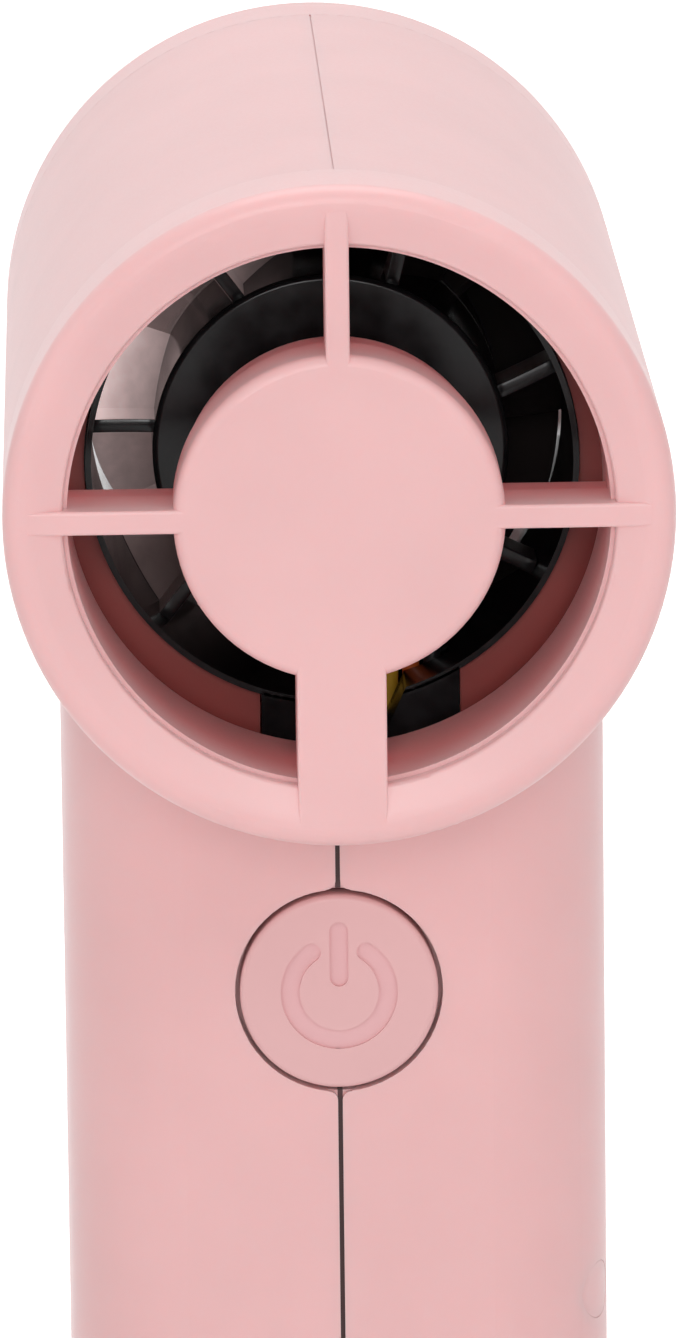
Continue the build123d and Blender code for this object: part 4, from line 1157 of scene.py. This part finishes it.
# ---- Screw caps and seam ------------------------------------------------------------------------
@dataclass
class ScrewCaps:
    """Moulded plugs that close the screw recesses flush with the handle's side."""

    radius: float = 1.89 * MM
    recess_radius: float = 1.9 * MM
    edge: float = 0.05 * MM
    head_gap: float = 0.1 * MM
    setback: float = 0.02 * MM
    height: float = 2.0 * MM
    face_shares: tuple[float, ...] = (0.0, 0.25, 0.5, 0.75)
    sides: int = 64
    rim_margin: float = 0.02 * MM

    def build(self, finishes: Finishes, screws: HousingScrews) -> Piece:
        """Make the caps.

        Args:
            finishes: The fan's finishes.
            screws: The screws behind them.

        Returns:
            The caps as one piece.
        """
        caps = [self.cap(f"cap_{i}", place) for i, place in enumerate(screws.places())]
        caps = join("screw_caps", *caps)
        settle(caps, finishes.housing)
        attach(caps, "housing")
        return caps

    def cap(self, name: str, place: Span) -> Piece:
        """One cap whose face follows the handle round the recess.

        Args:
            name: Its name.
            place: Its (y, z).

        Returns:
            The cap.
        """
        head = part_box("shell_screws")[1].x
        y, z = place
        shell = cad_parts["right_shell"].data
        rim = [v.co for v in shell.vertices if v.co.x > head + MM and self.on_rim(v.co, y, z)]
        rows = np.array([[1.0, p.y - y, p.z - z, (p.y - y) ** 2] for p in rim])
        fit = np.linalg.lstsq(rows, np.array([p.x for p in rim]), rcond=None)[0]
        outline = [(self.radius * share, self.height) for share in self.face_shares]
        outline += [(self.radius - self.edge, self.height), (self.radius, self.height - self.edge)]
        outline += [(self.radius, 0.0), (0.0, 0.0)]
        cap = lathe(name, outline, Vector((0, 0, 0)), self.sides)
        cap.data.transform(Matrix.Rotation(-math.pi / 2, 4, "Z"))
        for vertex in cap.data.vertices:
            _, dy, dz = vertex.co
            face = float(fit @ np.array([1.0, dy, dz, dy**2])) - self.setback
            below = self.height - vertex.co.x
            x = face - below if below < self.height / 2 else head + self.head_gap
            vertex.co = (x, y + dy, z + dz)
        return cap

    def on_rim(self, point: Vector, y: float, z: float) -> bool:
        """Whether a point lies on the recess's wall."""
        return abs(math.hypot(point.y - y, point.z - z) - self.recess_radius) < self.rim_margin


@dataclass
class BarrelSeam:
    """Lip of the left shell that closes the seam on the barrel's top just under its edge."""

    width: float = 0.1 * MM
    drop: float = 0.12 * MM
    height: float = 0.5 * MM
    front: float = 6.4 * MM
    barrel_radius: float = 21.0 * MM

    def build(self, finishes: Finishes) -> Piece:
        """Make the lip.

        Args:
            finishes: The fan's finishes.

        Returns:
            The lip.
        """
        top = AXIS_HEIGHT + self.barrel_radius - self.drop
        half = self.width / 2
        low = Vector((-half, OUTLET_Y + self.front, top - self.height))
        lip = box_piece("seam_lip", low, Vector((half, -OUTLET_Y - self.front, top)))
        settle(lip, finishes.housing, rounded=False)
        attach(lip, "housing")
        return lip


# ---- Charging socket ----------------------------------------------------------------------------
@dataclass
class SocketContacts:
    """Gilt contacts on both faces of the charging socket's tongue."""

    count: int = 12
    pitch: float = 0.5 * MM
    width: float = 0.25 * MM
    length: float = 3.2 * MM
    rise: float = 0.03 * MM
    setback: float = 0.5 * MM
    edge: float = 0.02 * MM

    def build(self, finishes: Finishes) -> Piece:
        """Make the contacts.

        Args:
            finishes: The fan's finishes.

        Returns:
            The contacts as one piece.
        """
        low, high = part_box("usb_tongue")
        middle = (low + high) / 2
        half = self.width / 2
        first = middle.x - self.pitch * (self.count - 1) / 2
        z0 = low.z + self.setback
        corner = Vector((first + half, high.y + self.rise, z0 + self.length))
        contact = box_piece("usb_contacts", Vector((first - half, low.y - self.rise, z0)), corner)
        modify(contact, "BEVEL", width=self.edge, segments=2)
        way = {"use_constant_offset": True, "constant_offset_displace": (self.pitch, 0, 0)}
        modify(contact, "ARRAY", count=self.count, use_relative_offset=False, **way)
        settle(contact, finishes.contact, rounded=False)
        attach(contact, "housing")
        return contact


# ---- Impeller, stator and bore ------------------------------------------------------------------
@dataclass(frozen=True)
class BladeRow:
    """Ring of equal vanes or blades round the barrel's axis, straight at the front and then turned.

    Angles are in degrees: start is the first one's, sweep what it gains from root to tip, and wrap
    what it gains from where it stops being straight to its rear edge.
    """

    name: str
    count: int
    start: float
    sweep: float
    wrap: float
    straight: float
    thickness: float
    edge: float = 0.08 * MM
    root: float = 0.25 * MM
    edge_angle: float = 60.0
    grid: tuple[int, int] = (6, 24)

    def build(self, front: float, back: float, inner: float, outer: float) -> Piece:
        """Make the row.

        Args:
            front: Depth of the front edges.
            back: Depth of the rear edges.
            inner: Radius of the surface that carries the inner ends.
            outer: Radius of the tips, or of the surface that carries them.

        Returns:
            The row as one piece.
        """
        deselect()
        across, along = self.grid
        bpy.ops.mesh.primitive_grid_add(x_subdivisions=across, y_subdivisions=along, size=1.0)
        blade = take_active(self.name)
        for vertex in blade.data.vertices:
            across, along = vertex.co.x + 0.5, (vertex.co.y + 0.5) * (back - front)
            turn = max(0.0, along - self.straight) / (back - front - self.straight)
            radius = inner - self.root + (outer - inner + self.root) * across
            angle = math.radians(self.start + self.sweep * across + self.wrap * turn)
            height = AXIS_HEIGHT + radius * math.sin(angle)
            vertex.co = (radius * math.cos(angle), depth(front + along), height)
        modify(blade, "SOLIDIFY", thickness=self.thickness, offset=0.0)
        limit = {"limit_method": "ANGLE", "angle_limit": math.radians(self.edge_angle)}
        modify(blade, "BEVEL", width=self.edge, segments=2, **limit)
        edit_all()
        spin(AXIS, math.tau * (1 - 1 / self.count), self.count - 1, copies=True)
        return blade


@dataclass
class Impeller:
    """Impeller hub with its domed nose and long overlapping blades."""

    hub_radius: float = 11.45 * MM
    cavity_radius: float = 9.97 * MM
    front: float = 36.3 * MM
    cavity_back: float = 47.9 * MM
    plate_back: float = 49.4 * MM
    nose_height: float = 3.6 * MM
    nose_steps: int = 12
    shaft_radius: float = 1.005 * MM
    shaft_end: float = 51.8 * MM
    tip_radius: float = 15.55 * MM
    blade_front: float = 36.7 * MM
    blade_back: float = 47.7 * MM
    blades: BladeRow = BladeRow(
        "blades", count=11, start=8.0, sweep=0.0, wrap=42.0, straight=0.0, thickness=0.7 * MM
    )

    def build(self, finishes: Finishes) -> Piece:
        """Make the impeller in place of its CAD solid.

        Args:
            finishes: The fan's finishes.

        Returns:
            The impeller.
        """
        sphere = (self.hub_radius**2 + self.nose_height**2) / (2 * self.nose_height)
        centre = self.plate_back + self.nose_height - sphere
        rim_angle = math.degrees(math.asin((self.plate_back - centre) / sphere))
        outline = [
            (0.0, self.shaft_end),
            (self.shaft_radius, self.shaft_end),
            (self.shaft_radius, self.cavity_back),
            (self.cavity_radius, self.cavity_back),
            (self.cavity_radius, self.front),
            (self.hub_radius, self.front),
        ]
        outline += arc_points((0.0, centre), sphere, rim_angle, 90, self.nose_steps)
        hub = turned("hub", outline)
        blades = self.blades.build(self.blade_front, self.blade_back, self.hub_radius, self.tip_radius)
        impeller = join("fan_impeller", hub, blades)
        settle(impeller, finishes.impeller)
        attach(impeller, "fan_rotor")
        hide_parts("impeller")
        return impeller


@dataclass
class Stator:
    """Duct with its thin front lip, closed motor cup, creased vanes and the leads' saddle."""

    lip_front: float = 18.5 * MM
    lip_radius: float = 15.78 * MM
    front_bore: float = 15.4 * MM
    rear_bore: float = 15.9 * MM
    duct_radius: float = 17.0 * MM
    duct_front: float = 22.0 * MM
    duct_back: float = 52.0 * MM
    flange_radius: float = 18.85 * MM
    flange_thickness: float = 1.2 * MM
    cover_front: float = 22.7 * MM
    cover_back: float = 23.5 * MM
    cover_edge: float = 0.4 * MM
    cup_radius: float = 11.45 * MM
    cup_bore: float = 10.3 * MM
    floor_front: float = 34.0 * MM
    floor_back: float = 35.5 * MM
    tube_radius: float = 4.0 * MM
    tube_back: float = 46.5 * MM
    seat_radius: float = 3.01 * MM
    shoulder_radius: float = 2.4 * MM
    shoulder_front: float = 32.5 * MM
    shoulder_back: float = 44.0 * MM
    tube_front: float = 29.6 * MM
    vanes: BladeRow = BladeRow(
        "vanes", count=7, start=171.8, sweep=2.1, wrap=-18.2, straight=4.0 * MM, thickness=0.9 * MM
    )
    vane_front: float = 23.55 * MM
    saddle_x: Span = (-4.72 * MM, 7.98 * MM)
    saddle_back: float = 34.0 * MM
    saddle_limit: float = 18.9 * MM
    passage_x: Span = (2.55 * MM, 7.5 * MM)
    passage_y: Span = (23.4 * MM, 25.2 * MM)
    passage_top: float = 12.9 * MM
    window_left: float = -1.5 * MM
    window_low: float = 17.8 * MM
    window_foot: float = 3.15 * MM
    window_head: float = 5.39 * MM
    notch_back: float = 28.0 * MM
    notch_top: float = 6.5 * MM
    edge_steps: int = 6
    round_steps: int = 160
    broad_limit: float = 0.6

    def build(self, finishes: Finishes) -> Piece:
        """Make the stator in place of its CAD solid.

        Args:
            finishes: The fan's finishes.

        Returns:
            The stator.
        """
        duct, saddle, cup = self.duct(), self.saddle(), self.cup()
        for piece in (duct, saddle):
            carve(piece, self.passage(), self.window())
        notch_y, notch_drop = (self.cover_back, self.notch_back), (self.passage_top, self.notch_top)
        carve(cup, self.block("notch", self.passage_x, notch_y, notch_drop))
        vanes = self.vanes.build(self.vane_front, self.floor_back, self.cup_radius, self.front_bore)
        stator = join("fan_stator", duct, saddle, cup, vanes)
        settle(stator, finishes.stator, finishes.vane)
        self.mark_vanes(stator)
        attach(stator, "housing")
        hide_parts("stator_duct")
        return stator

    def block(self, name: str, x: Span, y: Span, drop: Span) -> Piece:
        """Box below the axis.

        Args:
            name: Name of the box.
            x: Its sides.
            y: Depths of its front and back.
            drop: How far its bottom and top are below the axis.

        Returns:
            The box.
        """
        low = Vector((x[0], depth(y[0]), AXIS_HEIGHT - drop[0]))
        return box_piece(name, low, Vector((x[1], depth(y[1]), AXIS_HEIGHT - drop[1])))

    def duct(self) -> Piece:
        """Ring with its lip and rear flange.

        Returns:
            The ring.
        """
        flange_front = self.duct_back - self.flange_thickness
        outline = [
            (self.front_bore, self.lip_front),
            (self.lip_radius, self.lip_front),
            (self.lip_radius, self.duct_front),
            (self.duct_radius, self.duct_front),
            (self.duct_radius, flange_front),
            (self.flange_radius, flange_front),
            (self.flange_radius, self.duct_back),
            (self.rear_bore, self.duct_back),
            (self.rear_bore, self.floor_back),
            (self.front_bore, self.floor_back),
        ]
        return turned("duct", outline, closed=True)

    def cup(self) -> Piece:
        """Motor cup closed at the front, with the bearing tube behind it.

        Returns:
            The cup.
        """
        centre = (self.cup_radius - self.cover_edge, self.cover_front + self.cover_edge)
        outline = [
            (0.0, self.cover_front),
            *arc_points(centre, self.cover_edge, -90, 0, self.edge_steps),
            (self.cup_radius, self.floor_back),
            (self.tube_radius, self.floor_back),
            (self.tube_radius, self.tube_back),
            (self.seat_radius, self.tube_back),
            (self.seat_radius, self.shoulder_back),
            (self.shoulder_radius, self.shoulder_back),
            (self.shoulder_radius, self.shoulder_front),
            (self.seat_radius, self.shoulder_front),
            (self.seat_radius, self.tube_front),
            (self.tube_radius, self.tube_front),
            (self.tube_radius, self.floor_front),
            (self.cup_bore, self.floor_front),
            (self.cup_bore, self.cover_back),
            (0.0, self.cover_back),
        ]
        return turned("cup", outline)

    def saddle(self) -> Piece:
        """Block between the duct and the barrel's floor.

        Returns:
            The block.
        """
        y = (self.lip_front, self.saddle_back)
        saddle = self.block("saddle", self.saddle_x, y, (self.saddle_limit + MM, self.cup_radius))
        ends = (depth(self.lip_front - MM), depth(self.saddle_back + MM))
        radii = {"DIFFERENCE": (self.front_bore + self.lip_radius) / 2, "INTERSECT": self.saddle_limit}
        for operation, radius in radii.items():
            carve(saddle, rod("limit", radius, ends, (0, AXIS_HEIGHT), self.round_steps), operation=operation)
        return saddle

    def passage(self) -> Piece:
        """Way down through the duct and the saddle for the leads."""
        drop = (self.saddle_limit + MM, self.passage_top)
        return self.block("passage", self.passage_x, self.passage_y, drop)

    def window(self) -> Piece:
        """Way in to the leads from the front, with a slanting right side.

        Returns:
            The closed shape to cut out.
        """
        y = (self.lip_front - MM, sum(self.passage_y) / 2)
        drop = (self.window_low, self.passage_top)
        window = self.block("window", (self.window_left, self.window_head), y, drop)
        for vertex in window.data.vertices:
            if vertex.co.x > 0 and vertex.co.z < AXIS_HEIGHT - sum(drop) / 2:
                vertex.co.x = self.window_foot
        return window

    def mark_vanes(self, stator: Piece) -> None:
        """Give the broad sides of the vanes their own finish, with painted glow and painted shade.

        Args:
            stator: The stator.
        """
        for polygon in stator.data.polygons:
            spoke = Vector((polygon.center.x, 0, polygon.center.z - AXIS_HEIGHT))
            between = self.cup_radius < spoke.length < self.front_bore
            inside = depth(self.vane_front) < polygon.center.y < depth(self.floor_back)
            tilts = abs(polygon.normal.y), abs(polygon.normal.dot(spoke.normalized()))
            broad = max(tilts) < self.broad_limit
            polygon.material_index = 1 if between and inside and broad else 0


@dataclass
class OutletBore:
    """Straight bore behind the outlet's lip and the hoop that holds the duct's front lip."""

    bore_radius: float = 16.97 * MM
    bore_front: float = 1.38 * MM
    bore_back: float = 12.3 * MM
    spigot_back: float = 10.45 * MM
    inner_skin: float = 17.9 * MM
    outer_skin: float = 18.88 * MM
    hoop_radius: float = 15.86 * MM
    hoop_limit: float = 19.3 * MM
    hoop_front: float = 19.7 * MM
    hoop_width: float = 2.0 * MM
    gap: float = 0.08 * MM

    def build(self, finishes: Finishes) -> None:
        """Make the bore and the hoop.

        Args:
            finishes: The fan's finishes.
        """
        outline = [
            (self.bore_radius, self.bore_front),
            (self.inner_skin, self.bore_front),
            (self.inner_skin, self.spigot_back),
            (self.outer_skin, self.spigot_back),
            (self.outer_skin, self.bore_back),
            (self.bore_radius, self.bore_back),
        ]
        bore = turned("outlet_bore", outline, closed=True)
        hoop_back = self.hoop_front + self.hoop_width
        outline = [
            (self.hoop_radius, self.hoop_front),
            (self.hoop_limit, self.hoop_front),
            (self.hoop_limit, hoop_back),
            (self.hoop_radius, hoop_back),
        ]
        hoop = turned("duct_hoop", outline, closed=True)
        stator = Stator()
        sides = stator.saddle_x[0] - self.gap, stator.saddle_x[1] + self.gap
        reach = (self.hoop_front - MM, hoop_back + MM)
        carve(hoop, stator.block("room", sides, reach, (self.hoop_limit + MM, stator.cup_radius)))
        # The bore and hoop show the painted light and painted shade of the barrel's inside.
        for piece, material in ((bore, finishes.grille), (hoop, finishes.housing)):
            settle(piece, material)
            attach(piece, "housing")


# ---- Studio -------------------------------------------------------------------------------------
@dataclass
class Softbox:
    """One large soft lamp that points at the fan."""

    name: str
    place: Vector
    size: float
    power: float

    def build(self, target: Vector) -> None:
        """Add the lamp.

        Args:
            target: Where it points.
        """
        data = bpy.data.lights.new(self.name, "AREA")
        data.shape = "SQUARE"
        data.size = self.size
        data.energy = self.power
        lamp = bpy.data.objects.new(self.name, data)
        lamp.location = self.place
        lamp.rotation_mode = "QUATERNION"
        lamp.rotation_quaternion = (target - self.place).to_track_quat("-Z", "Y")
        bpy.context.scene.collection.objects.link(lamp)
        LOG.info("lamp %s: %.1f W", self.name, self.power)


@dataclass
class Studio:
    """White room: pale floor, even white surroundings and soft lamps."""

    floor_size: float = 12.0
    surround_light: float = 0.45
    floor_tone: float = 0.8
    floor_glow: float = 0.6
    target_height: float = 90.0 * MM

    def build(self) -> None:
        """Make the floor, the surroundings and the lamps."""
        self.make_floor()
        self.make_surroundings()
        lamps = (
            Softbox("front", Vector((-0.02, -1.5, 0.46)), 0.4, 5.2),
            Softbox("key", Vector((0.75, -1.1, 1.0)), 1.0, 4.0),
            Softbox("fill", Vector((-1.1, -0.9, 0.55)), 1.0, 3.0),
            Softbox("top", Vector((0.0, 0.25, 1.4)), 1.0, 8.5),
        )
        for lamp in lamps:
            lamp.build(Vector((0, 0, self.target_height)))
        bpy.context.scene.view_settings.view_transform = "Standard"

    def make_floor(self) -> None:
        """Pale matt floor that keeps the fan's shadow."""
        deselect()
        bpy.ops.mesh.primitive_plane_add(size=self.floor_size, location=(0, 0, 0))
        floor = take_active("studio_floor")
        sheet = NodeSheet(bpy.data.materials.new("floor_pale"))
        diffuse = sheet.add("ShaderNodeBsdfDiffuse", Color=(self.floor_tone,) * 3 + (1.0,)).outputs[0]
        glow = sheet.add("ShaderNodeEmission", Strength=self.floor_glow).outputs[0]
        both = sheet.chain("ShaderNodeAddShader", diffuse, glow).outputs[0]
        choice = sheet.chain("ShaderNodeMixShader", sheet.seen_directly(), diffuse, both)
        sheet.add("ShaderNodeOutputMaterial", Surface=choice.outputs[0])
        dress(floor, sheet.owner)

    def make_surroundings(self) -> None:
        """White room that shows as plain white and lights the fan a little less."""
        world = bpy.data.worlds.new("white_room")
        bpy.context.scene.world = world
        sheet = NodeSheet(world)
        limits = {"To_Min": self.surround_light, "To_Max": 1.0}
        strength = sheet.add("ShaderNodeMapRange", Value=sheet.seen_directly(), **limits).outputs["Result"]
        background = sheet.add("ShaderNodeBackground", Color=(1.0, 1.0, 1.0, 1.0), Strength=strength)
        sheet.add("ShaderNodeOutputWorld", Surface=background.outputs[0])


@dataclass
class ViewCamera:
    """Long lens in front of the outlet, a little above it."""

    distance: float = 671.0 * MM
    elevation: float = 12.21
    azimuth: float = -1.33
    roll: float = -0.68
    shift_right: float = -0.02 * MM
    shift_up: float = -9.26 * MM
    lens: float = 290.48
    sensor: float = 36.0
    nearest: float = 0.05
    farthest: float = 50.0

    def build(self) -> None:
        """Add the camera and make it the scene's."""
        a, e, r = (math.radians(v) for v in (self.azimuth, self.elevation, self.roll))
        back = Vector((math.sin(a) * math.cos(e), -math.cos(a) * math.cos(e), math.sin(e)))
        level = (-back).cross(Vector((0, 0, 1))).normalized()
        upright = level.cross(-back)
        right = math.cos(r) * level + math.sin(r) * upright
        up = -math.sin(r) * level + math.cos(r) * upright
        target = Vector((0, OUTLET_Y, AXIS_HEIGHT)) + self.shift_right * right + self.shift_up * up
        data = bpy.data.cameras.new("view_camera")
        data.lens = self.lens
        data.sensor_width = self.sensor
        data.clip_start = self.nearest
        data.clip_end = self.farthest
        camera = bpy.data.objects.new("view_camera", data)
        bpy.context.scene.collection.objects.link(camera)
        turn = Matrix((right, up, back)).transposed().to_4x4()
        camera.matrix_world = Matrix.Translation(target + self.distance * back) @ turn
        bpy.context.scene.camera = camera
        LOG.info("camera at %s", [round(v, 4) for v in camera.matrix_world.translation])


def main() -> None:
    """Build every piece in order."""
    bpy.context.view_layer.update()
    finishes = Finishes()
    finishes.dress_nodes()
    PowerButton().build(finishes)
    screws = HousingScrews()
    screws.build(finishes)
    ScrewCaps().build(finishes, screws)
    BarrelSeam().build(finishes)
    SocketContacts().build(finishes)
    Impeller().build(finishes)
    Stator().build(finishes)
    OutletBore().build(finishes)
    Studio().build()
    ViewCamera().build()


if __name__ == "__main__":
    logging.basicConfig(level=logging.INFO, format="%(message)s")
    main()
